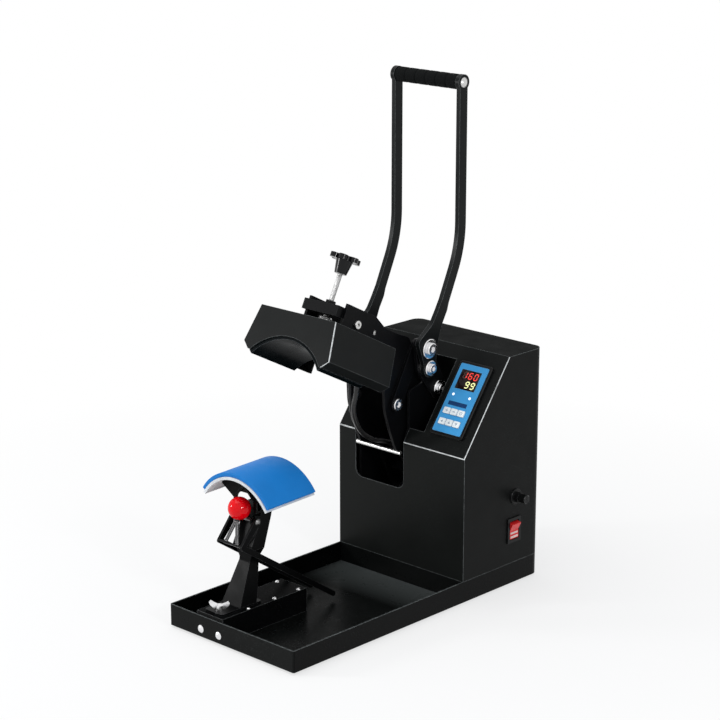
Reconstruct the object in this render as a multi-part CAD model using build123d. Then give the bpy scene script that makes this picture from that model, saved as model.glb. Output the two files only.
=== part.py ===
from build123d import *
import os
from math import asin, atan2, cos, degrees, hypot, pi, radians, sin, sqrt, tan

# Clamshell cap heat press: a swing arm carries a curved heating head over a curved lower platen.
# Millimetres. +Z is up, -Y faces the operator, +X is the operator's right. The origin lies on the
# bench under the middle of the base tray. The press is drawn open, with the handle up.
# A (distance behind the base's front edge, height above the bench) pair is called a spot below.

# ---------------------------------------------------------------- driving dimensions
# base tray
BASE_WIDTH = 280.0
BASE_LENGTH = 588.0
BASE_TOP = 40.0
FOOT_HEIGHT = 4.0
FOOT_RADIUS = 12.0
FOOT_INSET = 30.0
FOOT_HOLE_RADIUS = 2.5
TRAY_SHEET = 2.0
TRAY_FRONT_CORNER = 3.0
REAR_CORNER = 16.0

# press centre line, left of the middle of the base
CENTRE_X = -48.0

# housing
HOUSING_FRONT = 391.3
INCLINE_RUN = 110.7
HOUSING_FOLD_Z = 251.3
HOUSING_TOP_Z = 401.0
HOUSING_SHEET = 2.0
SLOT_HALF_WIDTH = 54.5
SLOT_BOTTOM_Z = 169.0
SLOT_CORNER = 15.0
WINDOW_START = 26.5
WINDOW_END = 161.0
WINDOW_HALF_WIDTH = 86.0
REAR_OPENING_SIDE = 28.0
REAR_OPENING_LOW = 52.0
REAR_OPENING_HIGH = 385.0
REAR_PANEL_LAP = 10.0
REAR_PANEL_SHEET = 1.5
COVER_SCREW_RADIUS = 2.0

# pivots, as spots
ARM_PIVOT = (489.5, 127.1)
CRANK_PIVOT = (469.5, 330.4)
LINK_TOP_PIVOT = (430.1, 407.8)
LINK_LOW_PIVOT = (380.8, 318.0)
CRANK_BOLT = (433.0, 374.0)
TIE_ROD_SPOT = (391.0, 231.0)
HEEL_SPOT = (550.0, 135.0)

# plates across the press, from the centre line outwards
ARM_PLATE_IN = 38.0
ARM_PLATE_THICKNESS = 5.0
LINK_THICKNESS = 5.0
LINK_HALF_WIDTH = 12.0
FRAME_PLATE_THICKNESS = 3.5
CRANK_PLATE_THICKNESS = 5.0
HANDLE_SPACER = 6.0
LINK_GAP = 1.0
FRAME_GAP = 1.5
CRANK_GAP = 2.0
HINGE_CLEARANCE = 0.1

# shafts and pins
ARM_SHAFT_RADIUS = 9.0
PIVOT_BOLT_RADIUS = 8.0
LINK_PIN_RADIUS = 7.0
ARM_BOSS_RADIUS = 22.0
CRANK_TOP_RADIUS = 17.0
CRANK_MIDDLE_RADIUS = 15.0
CRANK_LOW_RADIUS = 18.0
TIE_ROD_RADIUS = 3.5
TIE_ROD_HALF_LENGTH = 50.0
CROSSBAR_RADIUS = 7.0
CROSSBAR_SPOTS = ((386.0, 402.0), (452.0, 246.0))
HEEL_ROD_RADIUS = 4.0
FRAME_SPACER_SPOTS = ((420.0, 70.0), (518.0, 62.0), (503.0, 262.0))

# return springs
SPRING_ACROSS = 20.0
SPRING_LOW = 20.0
SPRING_RADIUS = 8.0

# heating head, in its own tilted frame: across, along from its front, and up
HEAD_TILT = 27.1
HEAD_FRONT = 174.4
HEAD_LEVEL_Z = 441.6
HEAD_LENGTH = 154.7
HEAD_TOP_HALF = 82.7
HEAD_WIDE_HALF = 95.0
HEAD_LOW_HALF = 81.7
HEAD_TOP = 63.0
HEAD_LOW = 11.4
HEAD_SHEET = 2.0
ARCH_APEX = 23.0
ARCH_RADIUS = 104.0
GLAND_SHELF_LENGTH = 40.0
GLAND_SHELF_UP = 34.0
REAR_NOTCH_HALF = 75.0
REAR_NOTCH_UP = 32.0

# curved heating plate and lower platen
PLATEN_RADIUS = 92.0
PLATE_CLEARANCE = 1.5
PLATE_APEX = 18.5
PLATE_THICKNESS = 8.0
PLATE_HALF_CHORD = 80.0
PLATE_LENGTH = 109.0
PLATE_INSET = 3.0
HEATER_THICKNESS = 3.0
HEATER_INSET = 6.0
INSULATION_THICKNESS = 13.0
INSULATION_HALF_CHORD = 84.0
STUD_RADIUS = 3.0
STUD_ACROSS = 40.0
STUD_SPACING = 64.0
PAD_THICKNESS = 7.0
SHELL_THICKNESS = 4.5
SHELL_MARGIN = 1.5
PLATEN_HALF_WIDTH = 76.0
PLATEN_LENGTH = 103.0
PLATEN_FRONT = 62.0
PLATEN_APEX_Z = 265.0
PLATEN_TILT = 1.7

# yoke between the platen and the stand
YOKE_SEAT_Z = 200.0
YOKE_SHEET = 3.0
YOKE_FRONT = 81.0
YOKE_REAR = 127.0
YOKE_WING_HALF = 52.0
YOKE_WING_Z = 233.0
YOKE_LEG_HALF = 26.0
YOKE_LEG_Z = 216.0
YOKE_ARCH_HALF = 19.0
YOKE_ARCH_Z = 229.0

# stand
RAIL_HALF_WIDTH = 29.4
RAIL_TOP_Z = 46.0
RAIL_LENGTH = 186.0
RAIL_SHEET = 3.0
RAIL_SCREW_RADIUS = 2.0
RAIL_SCREW_SPOTS = (62.0, 120.0, 174.0)
COLUMN_SHEET = 3.0
COLUMN_FOOT_HALF = 20.8
COLUMN_WAIST_HALF = 12.1
COLUMN_WAIST_Z = 121.0
COLUMN_HEAD_HALF = 21.0
COLUMN_HEAD_Z = 137.0
COLUMN_FRONT_FOOT = 48.0
COLUMN_FRONT_WAIST = 79.0
COLUMN_DEPTH = 24.0
FOOT_PLATE_FRONT = 9.0
FOOT_PLATE_REAR = 96.0
FRONT_BOLT_SPACING = 40.5
FRONT_BOLT_Z = 17.0
FRONT_BOLT_RADIUS = 3.2
WING_BOLT_Y = 23.0
WING_BOLT_RADIUS = 3.0

# hold-down
HOLD_PIVOT = (82.0, 186.0)
HOLD_KNEE = (50.0, 151.0)
HOLD_TIP = (252.0, 17.0)
HOLD_BAR_IN = 24.0
HOLD_BAR_THICKNESS = 4.0
HOLD_BAR_HALF_WIDTH = 4.5
HOLD_PIN_RADIUS = 3.0
BALL_RADIUS = 18.5
BALL_SPOT = (69.0, 206.0)
LEVER_ROD_RADIUS = 2.5
LEVER_START = 2.5

# pressure screw, its nut bridge and the star knob
SCREW_ALONG = 63.5
SCREW_RADIUS = 4.0
SCREW_CLEARANCE = 0.3
COLLAR_RADIUS = 11.0
COLLAR_HEIGHT = 9.0
BRIDGE_FRONT = 43.0
BRIDGE_LOW = 78.0
BRIDGE_HIGH = 95.4
BRIDGE_SHEET = 3.0
BRIDGE_REAR = 84.0
NUT_RADIUS = 9.0
HUB_LOW = 148.0
HUB_RADIUS = 14.0
STAR_LOW = 170.0
STAR_THICKNESS = 8.0
STAR_RADIUS = 26.0
STAR_LOBES = 6
STAR_LOBE_RADIUS = 7.5
STAR_WAIST_RADIUS = 17.0

# carrier that guides the head under the arms
CARRIER_HALF_WIDTH = 34.0
CARRIER_SHEET = 3.0
CARRIER_FRONT = 48.0
CARRIER_REAR = 150.0
CARRIER_EAR_FRONT = 76.0
CARRIER_EAR_HIGH = 90.0
GUIDE_SPOTS = (92.0, 140.0)
GUIDE_UP = 78.0
GUIDE_RADIUS = 4.0
GUIDE_CLEARANCE = 0.4
GUIDE_PIN_INSET = 1.5
HEAD_TRAVEL = 4.0

# handle
BAR_WIDTH = 18.0
BAR_THICKNESS = 8.0
BAR_LINE = 509.0
BAR_BEND_Z = 567.0
BAR_ROOT = (468.0, 478.0)
BAR_BEND_RADIUS = 190.0
GRIP_Z = 837.0
BAR_END_RADIUS = 13.0
GRIP_RADIUS = 12.5
GRIP_ROD_RADIUS = 8.0
GRIP_SEGMENTS = 6
GRIP_GROOVE = 2.4
GRIP_GROOVE_DEPTH = 1.2

# controller on the inclined face, across and up the incline
PANEL_X = (56.0, 115.5)
PANEL_UP = (33.0, 155.5)
BEZEL_MARGIN = 5.0
BEZEL_RAISE = 5.0
BEZEL_FLOOR = 2.0
PANEL_PROUD = 1.0
PANEL_CLEARANCE = 0.3
BEZEL_BOX_INSET = 3.0
BEZEL_BOX_DEPTH = 16.0
DISPLAY_X = (63.5, 105.0)
DISPLAY_UP = (111.0, 145.6)
DISPLAY_DEPTH = 1.5
KEY_SIZE = (13.6, 10.6)
KEY_PITCH = 15.2
KEY_FIRST_X = 69.0
KEY_ROWS = (70.5, 51.0)
KEY_RAISE = 1.4
KEY_LIFT = 1.0
KEY_CLEARANCE = 0.4
LED_RADIUS = 1.8
LED_RAISE = 0.6
LED_SPOTS = ((67.0, 100.0), (102.5, 99.0))
BOARD_THICKNESS = 1.6

# right face
ROCKER_SPOT = (518.5, 98.5)
ROCKER_FRAME = (33.0, 43.0)
ROCKER_FRAME_WALL = 2.5
ROCKER_FRAME_RAISE = 2.5
ROCKER_BODY_DEPTH = 20.0
ROCKER_HALF_SWING = 12.0
ROCKER_CLEARANCE = 0.5
FUSE_SPOT = (522.0, 156.0)
FUSE_FLANGE_RADIUS = 13.5
FUSE_FLANGE_RAISE = 3.0
FUSE_BODY_RADIUS = 9.0
FUSE_BODY_DEPTH = 28.0
FUSE_NECK_RAISE = 11.0
FUSE_CAP_RADIUS = 7.5
FUSE_CAP_RAISE = 25.0

# power inlet on the rear panel
INLET_SIDE = 58.0
INLET_Z = 80.0
INLET_FLANGE = (50.0, 30.0)
INLET_BODY = (30.0, 24.0)
INLET_WELL = (25.0, 17.0)
INLET_FLANGE_RAISE = 3.0
INLET_DEPTH = 22.0
INLET_BOLT_SPACING = 40.0
INLET_HOLE_RADIUS = 1.7

# cables from the head to the arm's clamp
CABLE_RADIUS = 4.0
LEAD_RADIUS = 2.5
GLAND_REAR = 12.0
CABLE_ACROSS = 28.0
LEAD_ACROSS = 8.0
GLAND_HEIGHT = 12.0
GLAND_CLEARANCE = 0.3
GLAND_NECK = 2.5
GLAND_NUT = 5.0
GLAND_LOCK = 4.0
CABLE_END_UP = 33.0
CABLE_FREE_UP = 10.0
ARC_SHARE = 0.45
CLAMP_HEIGHT = 16.0
CLAMP_DEPTH = 8.0

# cable routes, as (across, behind the front edge, up) places
HEATER_ROUTE = ((27, 308.5, 351), (26, 299.5, 322), (24, 311, 293), (19, 331, 272), (14, 362, 253),
                (11, 394, 244), (13, 429, 226), (14, 457, 199), (14, 475, 166))
LEAD_ROUTE = ((8, 312, 352), (6, 315, 322), (3, 324, 296), (-2, 342, 273), (-7, 366, 254),
              (-11, 392, 241), (-10, 429, 226), (-10, 457, 199), (-10, 475, 166))
HARNESS_ROUTE = ((106, 534, 15), (106, 518, 15), (94, 505, 15), (75, 500, 15), (54, 500, 15))

# ---------------------------------------------------------------- worked-out places
FRONT = -BASE_LENGTH / 2
INCLINE_ANGLE = degrees(atan2(HOUSING_TOP_Z - HOUSING_FOLD_Z, INCLINE_RUN))
TRAY_FLOOR = FOOT_HEIGHT + TRAY_SHEET

ARM_PLATE_OUT = ARM_PLATE_IN + ARM_PLATE_THICKNESS
LINK_IN = ARM_PLATE_OUT + LINK_GAP
LINK_OUT = LINK_IN + LINK_THICKNESS
FRAME_IN = LINK_OUT + FRAME_GAP
FRAME_OUT = FRAME_IN + FRAME_PLATE_THICKNESS
CRANK_IN = FRAME_OUT + CRANK_GAP
CRANK_OUT = CRANK_IN + CRANK_PLATE_THICKNESS
BAR_IN = CRANK_OUT + HANDLE_SPACER
BAR_OUT = BAR_IN + BAR_THICKNESS

PLATE_RADIUS = PLATEN_RADIUS + PLATE_CLEARANCE
PLATE_OUTER = PLATE_RADIUS + PLATE_THICKNESS
HEATER_OUTER = PLATE_OUTER + HEATER_THICKNESS
INSULATION_OUTER = HEATER_OUTER + INSULATION_THICKNESS

HEAD_FRAME = Pos(CENTRE_X, FRONT + HEAD_FRONT, HEAD_LEVEL_Z) * Rot(-HEAD_TILT, 0, 0)
PANEL_FRAME = Pos(0, FRONT + HOUSING_FRONT, HOUSING_FOLD_Z) * Rot(INCLINE_ANGLE, 0, 0)
PLATEN_FRAME = Pos(CENTRE_X, FRONT + PLATEN_FRONT, PLATEN_APEX_Z - PLATEN_RADIUS) * Rot(PLATEN_TILT, 0, 0)
RIGHT_FACE = BASE_WIDTH / 2
INLET_X = RIGHT_FACE - INLET_SIDE
GLAND_ALONG = HEAD_LENGTH - GLAND_REAR
LEVER_LENGTH = hypot(BALL_SPOT[0] - HOLD_KNEE[0], BALL_SPOT[1] - HOLD_KNEE[1])
PANEL_FRONT = BEZEL_RAISE + PANEL_PROUD
ROCKER_AXIS_X = RIGHT_FACE - 3.0
ON_FLOOR = (Align.CENTER, Align.CENTER, Align.MIN)


# ---------------------------------------------------------------- shared shapes
def side_face(sketch, x_low, x_high):
    """Extrude a sketch drawn in spots from x_low to x_high."""
    plane = Plane(origin=(x_low, FRONT, 0), x_dir=(0, 1, 0), z_dir=(1, 0, 0))
    return extrude(plane * sketch, x_high - x_low)


def front_face(sketch, y_low, y_high):
    """Extrude a sketch drawn in (x, z) from y_low to y_high."""
    plane = Plane(origin=(0, y_high, 0), x_dir=(1, 0, 0), z_dir=(0, -1, 0))
    return extrude(plane * sketch, y_high - y_low)


def rod(radius, spot, x_low, x_high):
    """A round bar along X through a spot."""
    return side_face(Pos(*spot) * Circle(radius), x_low, x_high)


def both_sides(make, near, far):
    """Left and right copies of make(x_low, x_high) about the press centre line."""
    return [make(CENTRE_X - far, CENTRE_X - near), make(CENTRE_X + near, CENTRE_X + far)]


def outline(points, rounds=None):
    """A closed outline; rounds gives the corner radius of chosen points."""
    face = make_face(Polyline(*points, close=True))
    for point, radius in (rounds or {}).items():
        corner = face.vertices().sort_by_distance(Vector(*point))[0]
        face = fillet(corner, radius)
    return face


def disc_hull(*discs):
    """The hull of several (spot, radius) discs."""
    edges = [edge for spot, radius in discs for edge in (Pos(*spot) * Circle(radius)).edges()]
    return make_hull(edges)


def box_between(low, high):
    size = [b - a for a, b in zip(low, high)]
    middle = [(a + b) / 2 for a, b in zip(low, high)]
    return Pos(*middle) * Box(*size)


def arc_band(radius_in, radius_out, half_chord, y_low, y_high):
    """A curved slab with its crown up, about the Y axis, as wide as half_chord at its outside."""
    half_angle = asin(half_chord / radius_out)
    reach = 2 * radius_out
    side = (reach * sin(half_angle), reach * cos(half_angle))
    wedge = outline([(0, 0), side, (side[0], reach), (-side[0], reach), (-side[0], side[1])])
    return front_face((Circle(radius_out) - Circle(radius_in)) & wedge, y_low, y_high)


def dome_head(radius, height):
    """A low round head standing on the XY plane."""
    ball_radius = (radius ** 2 + height ** 2) / (2 * height)
    ball = Pos(0, 0, height - ball_radius) * Sphere(ball_radius)
    return ball & Cylinder(2 * radius, height, align=ON_FLOOR)


def pan_screw(head_radius, head_height, radius, length):
    """A round-headed screw with its shank below the XY plane."""
    return dome_head(head_radius, head_height) + Pos(0, 0, -length) * Cylinder(radius, length,
                                                                             align=ON_FLOOR)


def socket_bolt(radius, height):
    """A cylinder head with a hexagon socket, standing on the XY plane."""
    head = Cylinder(radius, height, align=ON_FLOOR)
    head = chamfer(head.edges().group_by(Axis.Z)[-1], radius * 0.12)
    socket = extrude(RegularPolygon(radius * 0.5, 6), height * 0.6)
    return head - Pos(0, 0, height * 0.4) * socket


def facing_out(shape, distance, spot):
    """Copies of a shape made up +Z, standing at a distance left and right of the centre line."""
    right = Pos(CENTRE_X + distance, FRONT + spot[0], spot[1]) * Rot(0, 90, 0) * shape
    left = Pos(CENTRE_X - distance, FRONT + spot[0], spot[1]) * Rot(0, -90, 0) * shape
    return [left, right]


def joined(shapes):
    """Shapes fused into one."""
    total = shapes[0]
    for shape in shapes[1:]:
        total = total + shape
    return total


# ---------------------------------------------------------------- base tray and feet
def base_outline(inset):
    """The base seen from above, with folded front corners and round rear corners."""
    width = BASE_WIDTH - 2 * inset
    length = BASE_LENGTH - 2 * inset
    plan = Rectangle(width, length)
    plan = fillet(plan.vertices().group_by(Axis.Y)[-1], REAR_CORNER - inset)
    return fillet(plan.vertices().group_by(Axis.Y)[0], TRAY_FRONT_CORNER - inset)


def front_bolt_holes():
    hole = Rot(90, 0, 0) * Cylinder(FRONT_BOLT_RADIUS, 4 * (TRAY_SHEET + RAIL_SHEET))
    return [Pos(x, FRONT, FRONT_BOLT_Z) * hole for x in front_bolt_xs()]


def front_bolt_xs():
    return [CENTRE_X + side * FRONT_BOLT_SPACING / 2 for side in (-1, 1)]


def foot_places():
    x = BASE_WIDTH / 2 - FOOT_INSET
    y = BASE_LENGTH / 2 - FOOT_INSET
    return [(sx * x, sy * y) for sx in (-1, 1) for sy in (-1, 1)]


def base_tray():
    """The folded tray, with a welded cross wall under the housing's front."""
    tray = Pos(0, 0, FOOT_HEIGHT) * extrude(base_outline(0), BASE_TOP - FOOT_HEIGHT)
    tray -= Pos(0, 0, TRAY_FLOOR) * extrude(base_outline(TRAY_SHEET), BASE_TOP)
    inside = BASE_WIDTH / 2 - TRAY_SHEET
    tray += box_between((-inside, FRONT + HOUSING_FRONT, TRAY_FLOOR),
                        (inside, FRONT + HOUSING_FRONT + TRAY_SHEET, BASE_TOP))
    for x, y in foot_places():
        tray -= Pos(x, y, FOOT_HEIGHT) * Cylinder(FOOT_HOLE_RADIUS, 4 * TRAY_SHEET)
    for hole in front_bolt_holes():
        tray -= hole
    return tray


def rubber_feet():
    """Rubber rings around the four bench bolt holes."""
    foot = Cylinder(FOOT_RADIUS, FOOT_HEIGHT, align=ON_FLOOR)
    foot = foot - Cylinder(FOOT_HOLE_RADIUS, FOOT_HEIGHT, align=ON_FLOOR)
    return [Pos(x, y, 0) * foot for x, y in foot_places()]


def front_bolts():
    bolt = pan_screw(6.5, 3.0, FRONT_BOLT_RADIUS, 3 * (TRAY_SHEET + RAIL_SHEET))
    return [Pos(x, FRONT, FRONT_BOLT_Z) * Rot(90, 0, 0) * bolt for x in front_bolt_xs()]


# ---------------------------------------------------------------- stand
def rail_screw_places():
    x = RAIL_HALF_WIDTH - 5
    return [(CENTRE_X + side * x, FRONT + y) for side in (-1, 1) for y in RAIL_SCREW_SPOTS]


def mounting_rail():
    """An inverted channel on the tray floor, closed by a flange that the front bolts clamp."""
    low = (-RAIL_HALF_WIDTH, TRAY_SHEET, TRAY_FLOOR)
    high = (RAIL_HALF_WIDTH, TRAY_SHEET + RAIL_LENGTH, RAIL_TOP_Z)
    inside = RAIL_HALF_WIDTH - RAIL_SHEET
    rail = box_between(low, high)
    rail -= box_between((-inside, TRAY_SHEET + RAIL_SHEET, TRAY_FLOOR - 1),
                        (inside, TRAY_SHEET + RAIL_LENGTH + 1, RAIL_TOP_Z - RAIL_SHEET))
    rail = Pos(CENTRE_X, FRONT, 0) * rail
    for hole in front_bolt_holes():
        rail -= hole
    rail -= Pos(CENTRE_X, FRONT + WING_BOLT_Y, RAIL_TOP_Z) * Cylinder(WING_BOLT_RADIUS + 0.3, 4 * RAIL_SHEET)
    for x, y in rail_screw_places():
        rail -= Pos(x, y, RAIL_TOP_Z) * Cylinder(RAIL_SCREW_RADIUS, 4 * RAIL_SHEET)
    return rail


def rail_screws():
    screw = pan_screw(3.8, 2.2, RAIL_SCREW_RADIUS, 2 * RAIL_SHEET)
    return [Pos(x, y, RAIL_TOP_Z) * screw for x, y in rail_screw_places()]


def wing_bolt():
    """A wing bolt that clamps the column's foot plate to the rail."""
    wing = front_face(outline([(3, 3), (8, 1), (15, 7), (17, 12), (14.5, 15), (10, 12), (3, 9)],
                              {(14.5, 15): 2, (17, 12): 2}), -1.4, 1.4)
    hub = Cylinder(6.5, 7.5, align=ON_FLOOR)
    shank = Pos(0, 0, -12) * Cylinder(WING_BOLT_RADIUS, 14, align=ON_FLOOR)
    body = hub + shank + wing + mirror(wing, Plane.YZ)
    return Pos(CENTRE_X, FRONT + WING_BOLT_Y, RAIL_TOP_Z + COLUMN_SHEET) * Rot(0, 0, 35) * body


def column_profile():
    """The leaning column from the side."""
    low = RAIL_TOP_Z + COLUMN_SHEET
    rear_foot = COLUMN_FRONT_FOOT + COLUMN_DEPTH + 12
    rear_waist = COLUMN_FRONT_WAIST + COLUMN_DEPTH - 4
    return outline([(COLUMN_FRONT_FOOT, low), (COLUMN_FRONT_WAIST, COLUMN_WAIST_Z - 4),
                    (COLUMN_FRONT_WAIST, COLUMN_HEAD_Z), (rear_waist + 3, COLUMN_HEAD_Z),
                    (rear_waist, COLUMN_WAIST_Z), (rear_foot + 8, 84), (rear_foot, low)],
                   {(COLUMN_FRONT_WAIST, COLUMN_WAIST_Z - 4): 14})


def column_front_view(inset):
    low = RAIL_TOP_Z + COLUMN_SHEET - inset
    foot = COLUMN_FOOT_HALF - inset
    waist = COLUMN_WAIST_HALF - inset
    head = COLUMN_HEAD_HALF - inset
    right = [(foot, low), (waist, COLUMN_WAIST_Z - 6), (waist, COLUMN_WAIST_Z), (head, COLUMN_HEAD_Z + inset)]
    left = [(-x, z) for x, z in reversed(right)]
    return outline(right + left)


def stand_column():
    """A tapered channel, open to the rear, on a foot plate."""
    reach = COLUMN_HEAD_HALF + 1
    blank = side_face(column_profile(), -reach, reach)
    depth = 150
    skin = blank & front_face(column_front_view(0), FRONT, FRONT + depth)
    hollow = Pos(0, COLUMN_SHEET, 0) * blank & front_face(column_front_view(COLUMN_SHEET), FRONT, FRONT + depth)
    column = Pos(CENTRE_X, 0, 0) * (skin - hollow)
    half = COLUMN_FOOT_HALF - 0.4
    plate = box_between((CENTRE_X - half, FRONT + FOOT_PLATE_FRONT, RAIL_TOP_Z),
                        (CENTRE_X + half, FRONT + FOOT_PLATE_REAR, RAIL_TOP_Z + COLUMN_SHEET))
    plate = fillet(plate.edges().filter_by(Axis.Z), 5)
    plate -= Pos(CENTRE_X, FRONT + WING_BOLT_Y, RAIL_TOP_Z) * Cylinder(WING_BOLT_RADIUS + 0.3, 20)
    return column + plate


def column_head():
    """The upper box that leans back under the platen, with two ears for the hold-down's hinge."""
    low = COLUMN_HEAD_Z
    profile = outline([(72, low), (102, low), (118, 187), (121, YOKE_SEAT_Z), (97, YOKE_SEAT_Z), (91, 177),
                       (75, 145)], {(75, 145): 6, (91, 177): 10})
    half = COLUMN_HEAD_HALF
    inside = half - COLUMN_SHEET
    head = side_face(profile, CENTRE_X - half, CENTRE_X + half)
    head -= Pos(0, COLUMN_SHEET, 0) * side_face(profile, CENTRE_X - inside, CENTRE_X + inside)
    ear = disc_hull((HOLD_PIVOT, 8.0), ((100, 180), 10.0))
    ears = both_sides(lambda a, b: side_face(ear, a, b), inside, half)
    pin_hole = rod(HOLD_PIN_RADIUS, HOLD_PIVOT, CENTRE_X - 2 * half, CENTRE_X + 2 * half)
    return joined([head] + ears) - pin_hole


def hold_down_pin():
    """The hinge pin, with a round head at each end."""
    reach = HOLD_BAR_IN + HOLD_BAR_THICKNESS + 0.6
    pin = rod(HOLD_PIN_RADIUS, HOLD_PIVOT, CENTRE_X - reach, CENTRE_X + reach)
    heads = facing_out(dome_head(5.5, 2.5), reach, HOLD_PIVOT)
    return joined([pin] + heads)


def platen_yoke():
    """Two fan-shaped ribs and a seat plate, between the column head and the shell."""
    inner = PLATEN_RADIUS - PAD_THICKNESS - SHELL_THICKNESS
    arch_top = PLATEN_APEX_Z
    fan = outline([(-YOKE_WING_HALF, YOKE_WING_Z), (-YOKE_LEG_HALF, YOKE_LEG_Z), (-YOKE_LEG_HALF, YOKE_SEAT_Z),
                   (YOKE_LEG_HALF, YOKE_SEAT_Z), (YOKE_LEG_HALF, YOKE_LEG_Z), (YOKE_WING_HALF, YOKE_WING_Z),
                   (YOKE_WING_HALF, arch_top), (-YOKE_WING_HALF, arch_top)])
    blank = Pos(CENTRE_X, 0, 0) * front_face(fan, FRONT + YOKE_FRONT, FRONT + YOKE_REAR)
    under_shell = PLATEN_FRAME * front_face(Circle(inner), 0, PLATEN_LENGTH)
    between = box_between((CENTRE_X - 80, FRONT + YOKE_FRONT + YOKE_SHEET, YOKE_SEAT_Z + YOKE_SHEET),
                          (CENTRE_X + 80, FRONT + YOKE_REAR - YOKE_SHEET, arch_top))
    ball_arch = outline([(-YOKE_ARCH_HALF, YOKE_SEAT_Z - 1), (YOKE_ARCH_HALF, YOKE_SEAT_Z - 1),
                         (YOKE_ARCH_HALF, YOKE_ARCH_Z), (-YOKE_ARCH_HALF, YOKE_ARCH_Z)],
                        {(YOKE_ARCH_HALF, YOKE_ARCH_Z): 14, (-YOKE_ARCH_HALF, YOKE_ARCH_Z): 14})
    notch = Pos(CENTRE_X, 0, 0) * front_face(ball_arch, FRONT + YOKE_FRONT - 1, FRONT + YOKE_FRONT + 11)
    return (blank & under_shell) - between - notch


def platen_shell():
    outer = PLATEN_RADIUS - PAD_THICKNESS
    half_chord = PLATEN_HALF_WIDTH * outer / PLATEN_RADIUS + SHELL_MARGIN
    return PLATEN_FRAME * arc_band(outer - SHELL_THICKNESS, outer, half_chord, -SHELL_MARGIN,
                                   PLATEN_LENGTH + SHELL_MARGIN)


def platen_pad():
    return PLATEN_FRAME * arc_band(PLATEN_RADIUS - PAD_THICKNESS, PLATEN_RADIUS, PLATEN_HALF_WIDTH,
                                   0, PLATEN_LENGTH)


def platen_clip():
    """A folded strip on the front rib, like a roof over the ball."""
    strip = outline([(-20, 219), (0, 238), (20, 219), (20, 223.5), (0, 242.5), (-20, 223.5)])
    clip = Pos(CENTRE_X, 0, 0) * front_face(strip, FRONT + YOKE_FRONT - 2, FRONT + YOKE_FRONT)
    return clip & PLATEN_FRAME * front_face(Circle(PLATEN_RADIUS - PAD_THICKNESS - SHELL_THICKNESS),
                                            0, PLATEN_LENGTH)


# ---------------------------------------------------------------- hold-down
def holddown_bail():
    """Two flat side bars from the hinge over the knee to the rear tip, and a front cross strip."""
    half = HOLD_BAR_HALF_WIDTH
    side = disc_hull((HOLD_PIVOT, half + 2.5), (HOLD_KNEE, half)) + disc_hull((HOLD_KNEE, half), (HOLD_TIP, half))
    near = HOLD_BAR_IN
    far = HOLD_BAR_IN + HOLD_BAR_THICKNESS
    bars = both_sides(lambda a, b: side_face(side, a, b), near, far)
    strip = side_face(Pos(*HOLD_KNEE) * Rot(0, 0, -34) * Rectangle(2 * half, 3.0), CENTRE_X - near, CENTRE_X + near)
    hole = rod(HOLD_PIN_RADIUS + HINGE_CLEARANCE, HOLD_PIVOT, CENTRE_X - 2 * far, CENTRE_X + 2 * far)
    return joined(bars + [strip]) - hole


def lever_frame():
    """A frame at the knee whose Z axis points at the ball."""
    rise = BALL_SPOT[1] - HOLD_KNEE[1]
    run = BALL_SPOT[0] - HOLD_KNEE[0]
    return Pos(CENTRE_X, FRONT + HOLD_KNEE[0], HOLD_KNEE[1]) * Rot(-degrees(atan2(run, rise)), 0, 0)


def holddown_lever():
    """A V of two bent rods from the cross strip that meet in the ball's stud."""
    neck = LEVER_LENGTH - BALL_RADIUS - 3
    stud = Pos(0, 0, neck) * Cylinder(2 * LEVER_ROD_RADIUS, LEVER_LENGTH - neck, align=ON_FLOOR)
    leg = outline([(10, LEVER_START), (15, LEVER_START), (3.5, neck + 2), (-2, neck + 2)])
    leg = front_face(leg, -1.5, 1.5)
    return lever_frame() * (stud + leg + mirror(leg, Plane.YZ))


def holddown_ball():
    neck = LEVER_LENGTH - BALL_RADIUS - 3
    ball = Pos(0, 0, LEVER_LENGTH) * Sphere(BALL_RADIUS)
    bore = Pos(0, 0, neck) * Cylinder(2 * LEVER_ROD_RADIUS, LEVER_LENGTH - neck, align=ON_FLOOR)
    return lever_frame() * (ball - bore)


# ---------------------------------------------------------------- housing
def housing_profile(inset):
    """The housing from the side, pulled in by a sheet where inset is given."""
    rear = BASE_LENGTH - inset
    front = HOUSING_FRONT + inset
    slope = tan(radians(INCLINE_ANGLE / 2))
    fold = HOUSING_FOLD_Z - inset * tan(radians((90 - INCLINE_ANGLE) / 2))
    roof_front = HOUSING_FRONT + INCLINE_RUN + inset * slope
    top = HOUSING_TOP_Z - inset
    low = BASE_TOP - inset
    return outline([(front, low), (front, fold), (roof_front, top), (rear, top), (rear, low)])


def housing_blank(inset):
    half = BASE_WIDTH / 2 - inset
    blank = side_face(housing_profile(inset), -half, half)
    rear_edges = blank.edges().filter_by(Axis.Z).group_by(Axis.Y)[-1]
    return fillet(rear_edges, REAR_CORNER - inset)


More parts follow.
